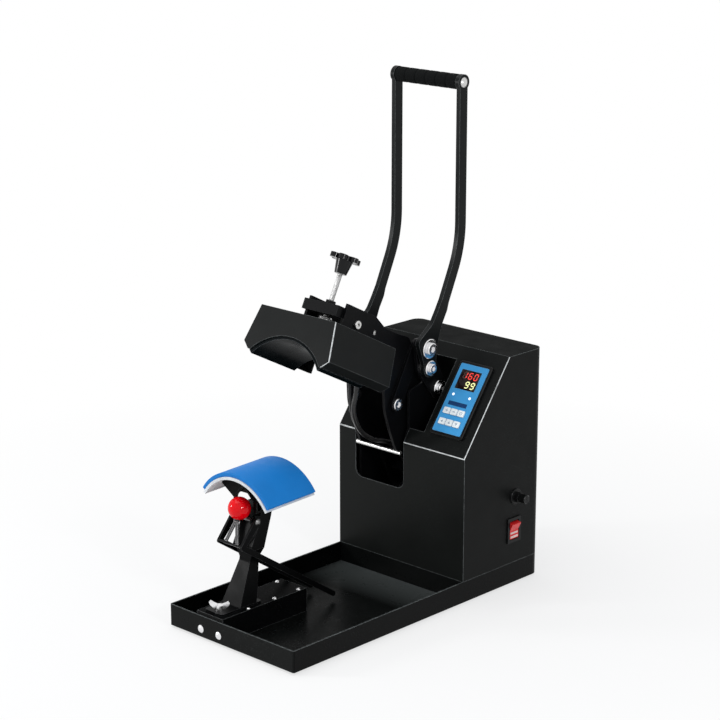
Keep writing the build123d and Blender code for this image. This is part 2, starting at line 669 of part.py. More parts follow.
def slot_cut():
    """The T-shaped opening that the arms, links and cranks work through."""
    slot = outline([(-SLOT_HALF_WIDTH, SLOT_BOTTOM_Z), (SLOT_HALF_WIDTH, SLOT_BOTTOM_Z),
                    (SLOT_HALF_WIDTH, HOUSING_FOLD_Z + 20), (-SLOT_HALF_WIDTH, HOUSING_FOLD_Z + 20)],
                   {(-SLOT_HALF_WIDTH, SLOT_BOTTOM_Z): SLOT_CORNER,
                    (SLOT_HALF_WIDTH, SLOT_BOTTOM_Z): SLOT_CORNER})
    wall = FRONT + HOUSING_FRONT
    front_cut = Pos(CENTRE_X, 0, 0) * front_face(slot, wall - 2, wall + HOUSING_SHEET + 2)
    fold_cut = PANEL_FRAME * box_between((CENTRE_X - SLOT_HALF_WIDTH, -2 * HOUSING_SHEET, -12),
                                         (CENTRE_X + SLOT_HALF_WIDTH, WINDOW_START + 1, 12))
    window_cut = PANEL_FRAME * box_between((CENTRE_X - WINDOW_HALF_WIDTH, WINDOW_START, -12),
                                           (CENTRE_X + WINDOW_HALF_WIDTH, WINDOW_END, 12))
    return [front_cut, fold_cut, window_cut]


def rear_opening(inset):
    half = BASE_WIDTH / 2 - REAR_OPENING_SIDE - inset
    return ((-half, REAR_OPENING_LOW + inset), (half, REAR_OPENING_HIGH - inset))


def cover_screw_places():
    (left, low), (right, high) = rear_opening(-REAR_PANEL_LAP / 2)
    middle = (low + high) / 2
    return [(x, z) for x in (left, right) for z in (low + 8, middle, high - 8)]


def housing_cover():
    """The folded sheet cover, with its slot, its controller cut-out and its open rear."""
    cover = housing_blank(0) - housing_blank(HOUSING_SHEET)
    for cut in slot_cut():
        cover -= cut
    inset = BEZEL_BOX_INSET - 0.5
    cover -= PANEL_FRAME * box_between((PANEL_X[0] + inset, PANEL_UP[0] + inset, -12),
                                       (PANEL_X[1] - inset, PANEL_UP[1] - inset, 12))
    (left, low), (right, high) = rear_opening(0)
    rear = -FRONT
    cover -= box_between((left, rear - 8, low), (right, rear + 2, high))
    for x, z in cover_screw_places():
        cover -= Pos(x, rear, z) * Rot(90, 0, 0) * Cylinder(COVER_SCREW_RADIUS, 20)
    face = RIGHT_FACE
    y = FRONT + ROCKER_SPOT[0]
    half_y = ROCKER_FRAME[0] / 2 - ROCKER_FRAME_WALL
    half_z = ROCKER_FRAME[1] / 2 - ROCKER_FRAME_WALL
    cover -= box_between((face - 8, y - half_y, ROCKER_SPOT[1] - half_z),
                         (face + 2, y + half_y, ROCKER_SPOT[1] + half_z))
    return cover - rod(FUSE_BODY_RADIUS, FUSE_SPOT, face - 8, face + 2)


def rear_panel():
    """A flat panel inside the rear opening, with the inlet's cut-out."""
    (left, low), (right, high) = rear_opening(-REAR_PANEL_LAP)
    rear = -FRONT - HOUSING_SHEET
    panel = box_between((left, rear - REAR_PANEL_SHEET, low), (right, rear, high))
    half_x, half_z = (size / 2 for size in INLET_BODY)
    panel -= box_between((INLET_X - half_x, rear - 8, INLET_Z - half_z), (INLET_X + half_x, rear + 2,
                                                                         INLET_Z + half_z))
    for x, z in cover_screw_places():
        panel -= Pos(x, rear, z) * Rot(90, 0, 0) * Cylinder(COVER_SCREW_RADIUS, 20)
    for x in inlet_bolt_xs():
        panel -= Pos(x, rear, INLET_Z) * Rot(90, 0, 0) * Cylinder(INLET_HOLE_RADIUS, 20)
    for row in range(6):
        z = REAR_OPENING_HIGH - 60 - 12 * row
        slot = front_face(Pos(0, z) * SlotOverall(90, 4), rear - 8, rear + 2)
        panel -= slot
    return panel


def housing_screws():
    screw = pan_screw(4.0, 2.4, COVER_SCREW_RADIUS, 6.0)
    return [Pos(x, -FRONT, z) * Rot(-90, 0, 0) * screw for x, z in cover_screw_places()]


def inlet_bolt_xs():
    return [INLET_X + side * INLET_BOLT_SPACING / 2 for side in (-1, 1)]


def power_inlet():
    """A three-pin appliance inlet behind the rear panel's cut-out."""
    rear = -FRONT - HOUSING_SHEET
    flange = extrude(RectangleRounded(*INLET_FLANGE, 4), INLET_FLANGE_RAISE)
    body = Pos(0, 0, -INLET_DEPTH) * extrude(Rectangle(*INLET_BODY), INLET_DEPTH)
    well = Pos(0, 0, -INLET_DEPTH + 3) * extrude(Rectangle(*INLET_WELL), INLET_DEPTH + INLET_FLANGE_RAISE)
    inlet = flange + body - well
    pin = extrude(Rectangle(2, 4), INLET_DEPTH - 6)
    for x, z in ((-7, -2), (0, 2), (7, -2)):
        inlet += Pos(x, z, -INLET_DEPTH + 3) * pin
    for side in (-1, 1):
        inlet -= Pos(side * INLET_BOLT_SPACING / 2, 0, 0) * Cylinder(INLET_HOLE_RADIUS, 20)
    return Pos(INLET_X, rear, INLET_Z) * Rot(-90, 0, 0) * inlet


# ---------------------------------------------------------------- inner frame and pivots
def frame_plate(x_low, x_high, outward):
    """A tall side plate with a foot flange on the tray floor."""
    x, z = CRANK_PIVOT
    sheet = outline([(HOUSING_FRONT + 8.7, TRAY_FLOOR), (HOUSING_FRONT + 8.7, 262), (HOUSING_FRONT + 13.7, 270),
                     (HOUSING_FRONT + 13.7, z + 6), (x - 8, z + 20.5), (x + 22, z), (552, 150), (566, 118),
                     (566, TRAY_FLOOR)], {(HOUSING_FRONT + 13.7, z + 6): 8})
    sheet = sheet + Pos(x, z) * Circle(22)
    sheet -= Pos(*CRANK_PIVOT) * Circle(PIVOT_BOLT_RADIUS)
    sheet -= Pos(*ARM_PIVOT) * Circle(ARM_SHAFT_RADIUS)
    plate = side_face(sheet, x_low, x_high)
    edge = x_high if outward > 0 else x_low
    flange = box_between((min(edge, edge + 16 * outward), FRONT + HOUSING_FRONT + 20, TRAY_FLOOR),
                         (max(edge, edge + 16 * outward), FRONT + 556, TRAY_FLOOR + FRAME_PLATE_THICKNESS))
    return plate + flange


def frame_plates():
    return [frame_plate(CENTRE_X - FRAME_OUT, CENTRE_X - FRAME_IN, -1),
            frame_plate(CENTRE_X + FRAME_IN, CENTRE_X + FRAME_OUT, 1)]


def frame_spacers():
    return [rod(7.0, spot, CENTRE_X - FRAME_IN, CENTRE_X + FRAME_IN) for spot in FRAME_SPACER_SPOTS]


def arm_pivot_shaft():
    """The shaft that the arms swing on, with a nut outside each frame plate."""
    shaft = rod(ARM_SHAFT_RADIUS, ARM_PIVOT, CENTRE_X - FRAME_OUT, CENTRE_X + FRAME_OUT)
    nuts = facing_out(extrude(RegularPolygon(15, 6), 7), FRAME_OUT, ARM_PIVOT)
    return joined([shaft] + nuts)


def handle_pivot_bolts():
    """Shoulder bolts on the frame plates, with a spacer inside and a ring outside each crank plate."""
    shank = Cylinder(PIVOT_BOLT_RADIUS, CRANK_OUT + 0.5 - FRAME_IN, align=ON_FLOOR)
    spacer = Pos(0, 0, FRAME_OUT - FRAME_IN) * Cylinder(12, CRANK_GAP - 0.4, align=ON_FLOOR)
    ring_low = CRANK_OUT + 0.5 - FRAME_IN
    ring = Pos(0, 0, ring_low) * Cylinder(14, 4, align=ON_FLOOR)
    ring = chamfer(ring.edges().group_by(Axis.Z)[-1], 1)
    head = Pos(0, 0, ring_low + 4) * socket_bolt(9, 6)
    return facing_out(shank + spacer + ring + head, FRAME_IN, CRANK_PIVOT)


# ---------------------------------------------------------------- swing arm
def arm_plate_face():
    """The swing arm: a forward beam over the head, a throat round the slot and a heel for the springs."""
    beam = outline([(257, 475.7), (272.9, 506.9), (337, 474), (358.7, 450.6), (390.8, 434.2), (417, 424),
                    (512, 150), (ARM_PIVOT[0] - 14, ARM_PIVOT[1] - 14), (432, 216), (387, 234), (371, 273),
                    (359, 309), (357, 345), (346, 430)],
                   {(417, 424): 14, (358.7, 450.6): 12, (337, 474): 10, (432, 216): 30, (387, 234): 12,
                    (371, 273): 60, (359, 309): 60, (357, 345): 60, (346, 430): 8})
    boss = disc_hull((ARM_PIVOT, ARM_BOSS_RADIUS), (HEEL_SPOT, 10.0))
    face = beam + boss
    face -= Pos(*ARM_PIVOT) * Circle(ARM_SHAFT_RADIUS + HINGE_CLEARANCE)
    face -= Pos(*LINK_LOW_PIVOT) * Circle(LINK_PIN_RADIUS)
    face -= Pos(*TIE_ROD_SPOT) * Circle(TIE_ROD_RADIUS)
    for along in GUIDE_SPOTS:
        face -= Pos(*head_spot(along, GUIDE_UP)) * Circle(GUIDE_RADIUS)
    return face


def head_spot(along, up):
    """The spot of a point given along and up in the head's frame."""
    tilt = radians(HEAD_TILT)
    return (HEAD_FRONT + along * cos(tilt) + up * sin(tilt), HEAD_LEVEL_Z - along * sin(tilt) + up * cos(tilt))


def arm_plates():
    return both_sides(lambda a, b: side_face(arm_plate_face(), a, b), ARM_PLATE_IN, ARM_PLATE_OUT)


def arm_crossbars():
    """Welded tubes between the two arm plates, and the rod that the springs pull on."""
    low = CENTRE_X - ARM_PLATE_IN
    high = CENTRE_X + ARM_PLATE_IN
    tubes = [rod(CROSSBAR_RADIUS, spot, low, high) - rod(CROSSBAR_RADIUS - 2, spot, low, high)
             for spot in CROSSBAR_SPOTS]
    return tubes + [rod(HEEL_ROD_RADIUS, HEEL_SPOT, low, high)]


def arm_cross_rod():
    return rod(TIE_ROD_RADIUS, TIE_ROD_SPOT, CENTRE_X - TIE_ROD_HALF_LENGTH, CENTRE_X + TIE_ROD_HALF_LENGTH)


def pressure_bridge():
    """A folded channel between the arms that holds the screw's nut."""
    half = ARM_PLATE_IN
    sheet = BRIDGE_SHEET
    blank = box_between((-half, BRIDGE_FRONT, BRIDGE_LOW), (half, BRIDGE_REAR, BRIDGE_HIGH))
    blank -= box_between((-half + sheet, BRIDGE_FRONT + sheet, BRIDGE_LOW - 1),
                         (half - sheet, BRIDGE_REAR + 1, BRIDGE_HIGH - sheet))
    nut = Pos(0, SCREW_ALONG, BRIDGE_LOW) * Cylinder(NUT_RADIUS, BRIDGE_HIGH - sheet - BRIDGE_LOW, align=ON_FLOOR)
    collar = Pos(0, SCREW_ALONG, BRIDGE_HIGH) * extrude(RegularPolygon(8.5, 6), 7)
    bore = Pos(0, SCREW_ALONG, BRIDGE_LOW - 1) * Cylinder(SCREW_RADIUS + SCREW_CLEARANCE, 40, align=ON_FLOOR)
    return HEAD_FRAME * (blank + nut + collar - bore)


def guide_bolts():
    """Front bolts and rear pins in the arm plates, which ride in the carrier's slots."""
    inner = CARRIER_HALF_WIDTH - CARRIER_SHEET - 1
    front, rear = (head_spot(along, GUIDE_UP) for along in GUIDE_SPOTS)
    bolt = Cylinder(GUIDE_RADIUS, ARM_PLATE_OUT - inner, align=ON_FLOOR)
    head = Pos(0, 0, ARM_PLATE_OUT - inner) * socket_bolt(7, 4)
    pin = Cylinder(GUIDE_RADIUS, ARM_PLATE_OUT - GUIDE_PIN_INSET - inner, align=ON_FLOOR)
    return facing_out(bolt + head, inner, front) + facing_out(pin, inner, rear)


# ---------------------------------------------------------------- toggle links
def toggle_links():
    """Flat links from the crank pin to the arm plates."""
    face = disc_hull((LINK_TOP_PIVOT, LINK_HALF_WIDTH), (LINK_LOW_PIVOT, LINK_HALF_WIDTH))
    face -= Pos(*LINK_TOP_PIVOT) * Circle(LINK_PIN_RADIUS + HINGE_CLEARANCE)
    face -= Pos(*LINK_LOW_PIVOT) * Circle(LINK_PIN_RADIUS)
    return both_sides(lambda a, b: side_face(face, a, b), LINK_IN, LINK_OUT)


def link_bolts():
    """Bolts in the links' lower ends, which stop short of the arm plates."""
    pin = Cylinder(LINK_PIN_RADIUS, LINK_THICKNESS, align=ON_FLOOR)
    head = Pos(0, 0, LINK_THICKNESS) * socket_bolt(10, 4.5)
    return facing_out(pin + head, LINK_IN, LINK_LOW_PIVOT)


# ---------------------------------------------------------------- handle
def crank_plates():
    face = disc_hull((LINK_TOP_PIVOT, CRANK_TOP_RADIUS), (CRANK_BOLT, CRANK_MIDDLE_RADIUS),
                     (CRANK_PIVOT, CRANK_LOW_RADIUS))
    face -= Pos(*CRANK_PIVOT) * Circle(PIVOT_BOLT_RADIUS + HINGE_CLEARANCE)
    face -= Pos(*LINK_TOP_PIVOT) * Circle(LINK_PIN_RADIUS)
    return both_sides(lambda a, b: side_face(face, a, b), CRANK_IN, CRANK_OUT)


def handle_bar_face():
    """A flat bar that bends forward and spreads into a root plate over the crank."""
    path = FilletPolyline((BAR_LINE, GRIP_Z), (BAR_LINE, BAR_BEND_Z), BAR_ROOT, radius=BAR_BEND_RADIUS)
    straight = trace(path, BAR_WIDTH)
    root = outline([(464, 489.5), (449.5, 465), (438.5, 448), (417, 432), (403, 422), (411, 403),
                    (CRANK_BOLT[0] - 13, CRANK_BOLT[1] + 2), (CRANK_BOLT[0] + 13, CRANK_BOLT[1] - 2),
                    (450, 408), (456, 429), (463, 446), (474, 465), (479, 482)],
                   {(403, 422): 10, (450, 408): 30, (456, 429): 30, (438.5, 448): 30})
    foot = Pos(*CRANK_BOLT) * Circle(CRANK_MIDDLE_RADIUS)
    end = Pos(BAR_LINE, GRIP_Z) * Circle(BAR_END_RADIUS)
    return straight + root + foot + end - Pos(*LINK_TOP_PIVOT) * Circle(LINK_PIN_RADIUS)


def handle_bars():
    bars = both_sides(lambda a, b: side_face(handle_bar_face(), a, b), BAR_IN, BAR_OUT)
    hole = rod(GRIP_ROD_RADIUS, (BAR_LINE, GRIP_Z), CENTRE_X - 2 * BAR_OUT, CENTRE_X + 2 * BAR_OUT)
    return [bar - hole for bar in bars]


def grip_rod():
    return rod(GRIP_ROD_RADIUS, (BAR_LINE, GRIP_Z), CENTRE_X - BAR_OUT, CENTRE_X + BAR_OUT)


def foam_grip():
    """A foam sleeve with shallow rings between its segments."""
    half = BAR_IN
    sleeve = Cylinder(GRIP_RADIUS, 2 * half) - Cylinder(GRIP_ROD_RADIUS, 2 * half)
    pitch = 2 * half / GRIP_SEGMENTS
    ring = Cylinder(GRIP_RADIUS + 1, GRIP_GROOVE) - Cylinder(GRIP_RADIUS - GRIP_GROOVE_DEPTH, GRIP_GROOVE)
    for index in range(1, GRIP_SEGMENTS):
        sleeve -= Pos(0, 0, -half + index * pitch) * ring
    return Pos(CENTRE_X, FRONT + BAR_LINE, GRIP_Z) * Rot(0, 90, 0) * sleeve


def grip_bolts():
    return facing_out(dome_head(7.5, 3.5), BAR_OUT, (BAR_LINE, GRIP_Z))


def root_bushings():
    """Spacers between crank plates and bars, and the stepped rings outside the bars."""
    spacer = Cylinder(13, HANDLE_SPACER, align=ON_FLOOR)
    pieces = []
    for spot in (LINK_TOP_PIVOT, CRANK_BOLT):
        bore = LINK_PIN_RADIUS if spot == LINK_TOP_PIVOT else 5.0
        pieces += facing_out(spacer - Cylinder(bore, 40), CRANK_OUT, spot)
    for spot, radius in ((LINK_TOP_PIVOT, 16.5), (CRANK_BOLT, 13.0)):
        ring = Cylinder(radius, 3.0, align=ON_FLOOR)
        ring = chamfer(ring.edges().group_by(Axis.Z)[-1], 1)
        pieces += facing_out(ring, BAR_OUT, spot)
    return pieces


def root_bolts():
    """The crank pins with their socket heads, and the bolts that clamp each bar to its crank plate."""
    pin_length = BAR_OUT - LINK_IN
    pin = Cylinder(LINK_PIN_RADIUS, pin_length, align=ON_FLOOR)
    pins = facing_out(pin, LINK_IN, LINK_TOP_PIVOT)
    heads = facing_out(socket_bolt(10.5, 5.5), BAR_OUT + 3, LINK_TOP_PIVOT)
    low_heads = facing_out(socket_bolt(8.0, 5.0), BAR_OUT + 3, CRANK_BOLT)
    clamps = facing_out(Cylinder(5.0, HANDLE_SPACER, align=ON_FLOOR), CRANK_OUT, CRANK_BOLT)
    return pins + heads + low_heads + clamps


# ---------------------------------------------------------------- heating head
def head_section(inset):
    """The head's front view: a hexagonal hood with an arch cut up into it."""
    high = HEAD_TOP - inset
    return outline([(-HEAD_LOW_HALF + inset, -HEAD_LOW), (-HEAD_WIDE_HALF + 1.2 * inset, 0),
                    (-HEAD_TOP_HALF + inset, high), (HEAD_TOP_HALF - inset, high),
                    (HEAD_WIDE_HALF - 1.2 * inset, 0), (HEAD_LOW_HALF - inset, -HEAD_LOW)])


def head_cover():
    """A folded hood, open below, with an arched front, a notched rear and a shelf for the glands."""
    hood = front_face(head_section(0), 0, HEAD_LENGTH)
    inner = front_face(head_section(HEAD_SHEET), HEAD_SHEET, HEAD_LENGTH - HEAD_SHEET)
    shelf = box_between((-HEAD_WIDE_HALF, HEAD_LENGTH - GLAND_SHELF_LENGTH, GLAND_SHELF_UP),
                        (HEAD_WIDE_HALF, HEAD_LENGTH, GLAND_SHELF_UP + HEAD_SHEET))
    arch = Pos(0, 0, ARCH_APEX - ARCH_RADIUS) * front_face(Circle(ARCH_RADIUS), -1, 2 * HEAD_SHEET)
    notch = box_between((-REAR_NOTCH_HALF, HEAD_LENGTH - 2 * HEAD_SHEET, -2 * HEAD_LOW),
                        (REAR_NOTCH_HALF, HEAD_LENGTH + HEAD_SHEET, REAR_NOTCH_UP))
    cover = hood - (inner - shelf) - arch - notch
    for across, radius in ((CABLE_ACROSS, CABLE_RADIUS), (LEAD_ACROSS, LEAD_RADIUS)):
        cover -= Pos(across, GLAND_ALONG, GLAND_SHELF_UP) * Cylinder(radius + GLAND_NECK, 4 * HEAD_SHEET)
    return HEAD_FRAME * cover


def head_band(radius_in, radius_out, half_chord, low, high):
    return Pos(0, 0, PLATE_APEX - PLATE_RADIUS) * arc_band(radius_in, radius_out, half_chord, low, high)


def stud_places():
    middle = PLATE_INSET + PLATE_LENGTH / 2
    return [(sx * STUD_ACROSS, middle + sy * STUD_SPACING / 2) for sx in (-1, 1) for sy in (-1, 1)]


def plate_studs():
    """Studs that hang the heating plate from the hood's roof."""
    roof = HEAD_TOP - HEAD_SHEET
    below = Pos(0, 0, PLATE_APEX - PLATE_RADIUS) * front_face(Circle(PLATE_OUTER), -1, HEAD_LENGTH)
    stud = Cylinder(STUD_RADIUS, roof, align=ON_FLOOR)
    return [HEAD_FRAME * (Pos(x, y, 0) * stud - below) for x, y in stud_places()]


def without_studs(shape):
    for x, y in stud_places():
        shape -= Pos(x, y, 0) * Cylinder(STUD_RADIUS + 0.3, 200)
    return shape


def heating_platen():
    return HEAD_FRAME * head_band(PLATE_RADIUS, PLATE_OUTER, PLATE_HALF_CHORD, PLATE_INSET,
                                  PLATE_INSET + PLATE_LENGTH)


def heating_element():
    band = head_band(PLATE_OUTER, HEATER_OUTER, PLATE_HALF_CHORD - HEATER_INSET, PLATE_INSET + HEATER_INSET,
                     PLATE_INSET + PLATE_LENGTH - HEATER_INSET)
    return HEAD_FRAME * without_studs(band)


def insulation():
    band = head_band(HEATER_OUTER, INSULATION_OUTER, INSULATION_HALF_CHORD, PLATE_INSET + 1,
                     PLATE_INSET + PLATE_LENGTH)
    return HEAD_FRAME * without_studs(band)


def head_carrier():
    """A channel on the hood's roof, with slotted ears that the guide bolts run in."""
    half = CARRIER_HALF_WIDTH
    sheet = CARRIER_SHEET
    base = box_between((-half, CARRIER_FRONT, HEAD_TOP), (half, CARRIER_REAR, HEAD_TOP + sheet))
    carrier = fillet(base.edges().filter_by(Axis.Z), 4)
    slot_rise = HEAD_TRAVEL
    slot_width = 2 * (GUIDE_RADIUS + GUIDE_CLEARANCE)
    for side in (-1, 1):
        inner = side * (half - sheet)
        ear = box_between((min(inner, side * half), CARRIER_EAR_FRONT, HEAD_TOP + sheet),
                          (max(inner, side * half), CARRIER_REAR - 4, CARRIER_EAR_HIGH))
        for along in GUIDE_SPOTS:
            low = Pos(0, along, GUIDE_UP) * Rot(0, 90, 0) * Cylinder(slot_width / 2, 3 * half)
            high = Pos(0, along, GUIDE_UP + slot_rise) * Rot(0, 90, 0) * Cylinder(slot_width / 2, 3 * half)
            middle = Pos(0, along, GUIDE_UP + slot_rise / 2) * Box(3 * half, slot_width, slot_rise)
            ear -= low + high + middle
        carrier += ear
    return HEAD_FRAME * carrier


def cable_glands():
    """Glands in the hood's shelf, one for the heater cable and one for the sensor lead."""
    glands = []
    for across, radius in ((CABLE_ACROSS, CABLE_RADIUS), (LEAD_ACROSS, LEAD_RADIUS)):
        nut = Pos(0, 0, -GLAND_HEIGHT) * Cylinder(radius + GLAND_NUT, GLAND_HEIGHT, align=ON_FLOOR)
        neck = Cylinder(radius + GLAND_NECK, HEAD_SHEET + GLAND_LOCK, align=ON_FLOOR)
        lock = Pos(0, 0, HEAD_SHEET) * Cylinder(radius + GLAND_NUT, GLAND_LOCK, align=ON_FLOOR)
        bore = Cylinder(radius + GLAND_CLEARANCE, 4 * GLAND_HEIGHT)
        glands.append(HEAD_FRAME * Pos(across, GLAND_ALONG, GLAND_SHELF_UP) * (nut + neck + lock - bore))
    return glands


# ---------------------------------------------------------------- pressure screw
def pressure_screw():
    screw = Pos(0, 0, HEAD_TOP + CARRIER_SHEET + SCREW_CLEARANCE) * Cylinder(
        SCREW_RADIUS, HUB_LOW - HEAD_TOP - CARRIER_SHEET - SCREW_CLEARANCE, align=ON_FLOOR)
    collar = Pos(0, 0, HEAD_TOP + CARRIER_SHEET + SCREW_CLEARANCE) * Cylinder(COLLAR_RADIUS, COLLAR_HEIGHT,
                                                                            align=ON_FLOOR)
    collar = chamfer(collar.edges().group_by(Axis.Z)[-1], 1.5)
    return HEAD_FRAME * Pos(0, SCREW_ALONG, 0) * (screw + collar)


def star_knob():
    """A six-lobed knob on a tapered hub."""
    hub = loft([Pos(0, 0, HUB_LOW) * Circle(HUB_RADIUS * 0.72), Pos(0, 0, STAR_LOW) * Circle(HUB_RADIUS)])
    star = Circle(STAR_WAIST_RADIUS)
    for index in range(STAR_LOBES):
        angle = 360 / STAR_LOBES * index
        lobe = disc_hull(((0, 0), STAR_LOBE_RADIUS), ((STAR_RADIUS - STAR_LOBE_RADIUS, 0), STAR_LOBE_RADIUS))
        star += Rot(0, 0, angle) * lobe
    star = Pos(0, 0, STAR_LOW) * extrude(star, STAR_THICKNESS)
    return HEAD_FRAME * Pos(0, SCREW_ALONG, 0) * (hub + star)


# ---------------------------------------------------------------- cables on the arm
def cable_tube(points, radius):
    """A round tube along straight runs joined by arcs as large as the runs allow."""
    arcs = []
    for before, corner, after in zip(points, points[1:], points[2:]):
        run_in = Vector(*corner) - Vector(*before)
        run_out = Vector(*after) - Vector(*corner)
        half_turn = radians(run_in.get_angle(run_out)) / 2
        arcs.append(ARC_SHARE * min(run_in.length, run_out.length) / tan(half_turn))
    path = FilletPolyline(*points, radius=arcs)
    start = Plane(origin=path @ 0, z_dir=path % 0)
    tube = sweep(start * Circle(radius), path=path)
    share = tube.volume / (pi * radius ** 2 * path.length)
    print("cable radii", [round(arc) for arc in arcs], "length", round(path.length), "volume share", round(share, 4))
    return tube


def route(across_start, spots):
    """Points of a cable: two in its gland's axis, then chosen (across, behind, up) places."""
    start = [head_spot(GLAND_ALONG, CABLE_END_UP), head_spot(GLAND_ALONG, CABLE_FREE_UP)]
    points = [(CENTRE_X + across_start, FRONT + y, z) for y, z in start]
    return points + [(CENTRE_X + x, FRONT + y, z) for x, y, z in spots]


def head_cables():
    return [cable_tube(route(CABLE_ACROSS, HEATER_ROUTE), CABLE_RADIUS),
            cable_tube(route(LEAD_ACROSS, LEAD_ROUTE), LEAD_RADIUS)]


def cable_clamp():
    """A bar between the arm plates, bored for the lower ends of both cables."""
    before, last = HEATER_ROUTE[-2], HEATER_ROUTE[-1]
    run = Vector(0, last[1] - before[1], last[2] - before[2])
    plane = Plane(origin=(CENTRE_X, FRONT + last[1], last[2]), x_dir=(1, 0, 0), z_dir=run)
    bar = Rectangle(2 * ARM_PLATE_IN, CLAMP_HEIGHT)
    bar -= Pos(HEATER_ROUTE[-1][0], 0) * Circle(CABLE_RADIUS)
    bar -= Pos(LEAD_ROUTE[-1][0], 0) * Circle(LEAD_RADIUS)
    return extrude(plane * bar, -CLAMP_DEPTH)


# ---------------------------------------------------------------- springs and wiring inside


def return_springs():
    """Close-wound springs from the tray floor up to the arms' heel rod."""
    y, top = HEEL_SPOT
    length = top - HEEL_ROD_RADIUS - 0.5 - SPRING_LOW
    coil = Cylinder(SPRING_RADIUS, length, align=ON_FLOOR) - Cylinder(SPRING_RADIUS - 2, length, align=ON_FLOOR)
    return [Pos(CENTRE_X + side * SPRING_ACROSS, FRONT + y, SPRING_LOW) * coil for side in (-1, 1)]


def spring_anchors():
    y = HEEL_SPOT[0]
    anchor = Cylinder(SPRING_RADIUS + 2, 3, align=ON_FLOOR) + Cylinder(5, SPRING_LOW - TRAY_FLOOR, align=ON_FLOOR)
    return [Pos(CENTRE_X + side * SPRING_ACROSS, FRONT + y, TRAY_FLOOR) * anchor for side in (-1, 1)]


def terminal_block():
    block = Box(60, 22, 18, align=ON_FLOOR)
    for index in range(5):
        block -= Pos(-24 + 12 * index, -6, 12) * Box(8, 12, 8, align=ON_FLOOR)
    return Pos(70, FRONT + 545, TRAY_FLOOR) * block


def solid_state_relay():
    sink = Box(46, 62, 10, align=ON_FLOOR)
    body = Pos(0, 0, 10) * Box(44, 58, 22, align=ON_FLOOR)
    for index in range(4):
        sink -= Pos(-15 + 10 * index, 0, 4) * Box(4, 70, 6.01, align=ON_FLOOR)
    return Pos(70, FRONT + 450, TRAY_FLOOR) * (body + sink)


def inner_harness():
    """The fixed part of the wiring, from the terminal block towards the arm pivot."""
    points = [(CENTRE_X + x, FRONT + y, z) for x, y, z in HARNESS_ROUTE]
    return cable_tube(points, CABLE_RADIUS)


# ---------------------------------------------------------------- controller
def panel_box(low_x, low_up, high_x, high_up, low, high):
    return box_between((low_x, low_up, low), (high_x, high_up, high))


def controller_bezel():
    """A raised frame on the incline with a closed box behind the panel."""
    outer = panel_box(PANEL_X[0] - BEZEL_MARGIN, PANEL_UP[0] - BEZEL_MARGIN, PANEL_X[1] + BEZEL_MARGIN,
                      PANEL_UP[1] + BEZEL_MARGIN, 0, BEZEL_RAISE)
    outer = fillet(outer.edges().filter_by(Axis.Z), 4)
    outer = chamfer(outer.faces().sort_by(Axis.Z)[-1].edges(), 1)
    gap = PANEL_CLEARANCE
    pocket = panel_box(PANEL_X[0] - gap, PANEL_UP[0] - gap, PANEL_X[1] + gap, PANEL_UP[1] + gap,
                       BEZEL_FLOOR, BEZEL_RAISE + 1)
    inset = BEZEL_BOX_INSET
    box = panel_box(PANEL_X[0] + inset, PANEL_UP[0] + inset, PANEL_X[1] - inset, PANEL_UP[1] - inset,
                    -BEZEL_BOX_DEPTH, 0)
    wall = inset + 2
    hollow = panel_box(PANEL_X[0] + wall, PANEL_UP[0] + wall, PANEL_X[1] - wall, PANEL_UP[1] - wall,
                       -BEZEL_BOX_DEPTH + 2, -0.5)
    return PANEL_FRAME * (outer - pocket + box - hollow)


def control_board():
    wall = BEZEL_BOX_INSET + 2
    low = -BEZEL_BOX_DEPTH + 2
    return PANEL_FRAME * panel_box(PANEL_X[0] + wall, PANEL_UP[0] + wall, PANEL_X[1] - wall, PANEL_UP[1] - wall,
                                   low, low + BOARD_THICKNESS)


def key_places():
    return [(KEY_FIRST_X + KEY_PITCH * column, up) for up in KEY_ROWS for column in range(3)]


def controller_face():
    """The panel, pierced for its keys, display and indicator lamps."""
    face = panel_box(PANEL_X[0], PANEL_UP[0], PANEL_X[1], PANEL_UP[1], BEZEL_FLOOR, PANEL_FRONT)
    face = fillet(face.edges().filter_by(Axis.Z), 2)
    gap = 2 * KEY_CLEARANCE
    for x, up in key_places():
        face -= Pos(x, up, 0) * Box(KEY_SIZE[0] + gap, KEY_SIZE[1] + gap, 4 * PANEL_FRONT)
    face -= panel_box(DISPLAY_X[0], DISPLAY_UP[0], DISPLAY_X[1], DISPLAY_UP[1], PANEL_FRONT - DISPLAY_DEPTH,
                      PANEL_FRONT + 1)
    return PANEL_FRAME * face


def display_window():
    return PANEL_FRAME * panel_box(DISPLAY_X[0], DISPLAY_UP[0], DISPLAY_X[1], DISPLAY_UP[1],
                                   PANEL_FRONT - DISPLAY_DEPTH, PANEL_FRONT + 0.2)


def status_leds():
    led = Cylinder(LED_RADIUS, LED_RAISE, align=ON_FLOOR)
    return [PANEL_FRAME * Pos(x, up, PANEL_FRONT) * led for x, up in LED_SPOTS]


def panel_key(x, up):
    """A key that stands clear above the bezel floor and travels into it."""
    low = BEZEL_FLOOR + KEY_LIFT
    key = panel_box(x - KEY_SIZE[0] / 2, up - KEY_SIZE[1] / 2, x + KEY_SIZE[0] / 2, up + KEY_SIZE[1] / 2,
                    low, PANEL_FRONT + KEY_RAISE)
    return PANEL_FRAME * fillet(key.edges().filter_by(Axis.Z), 1.5)


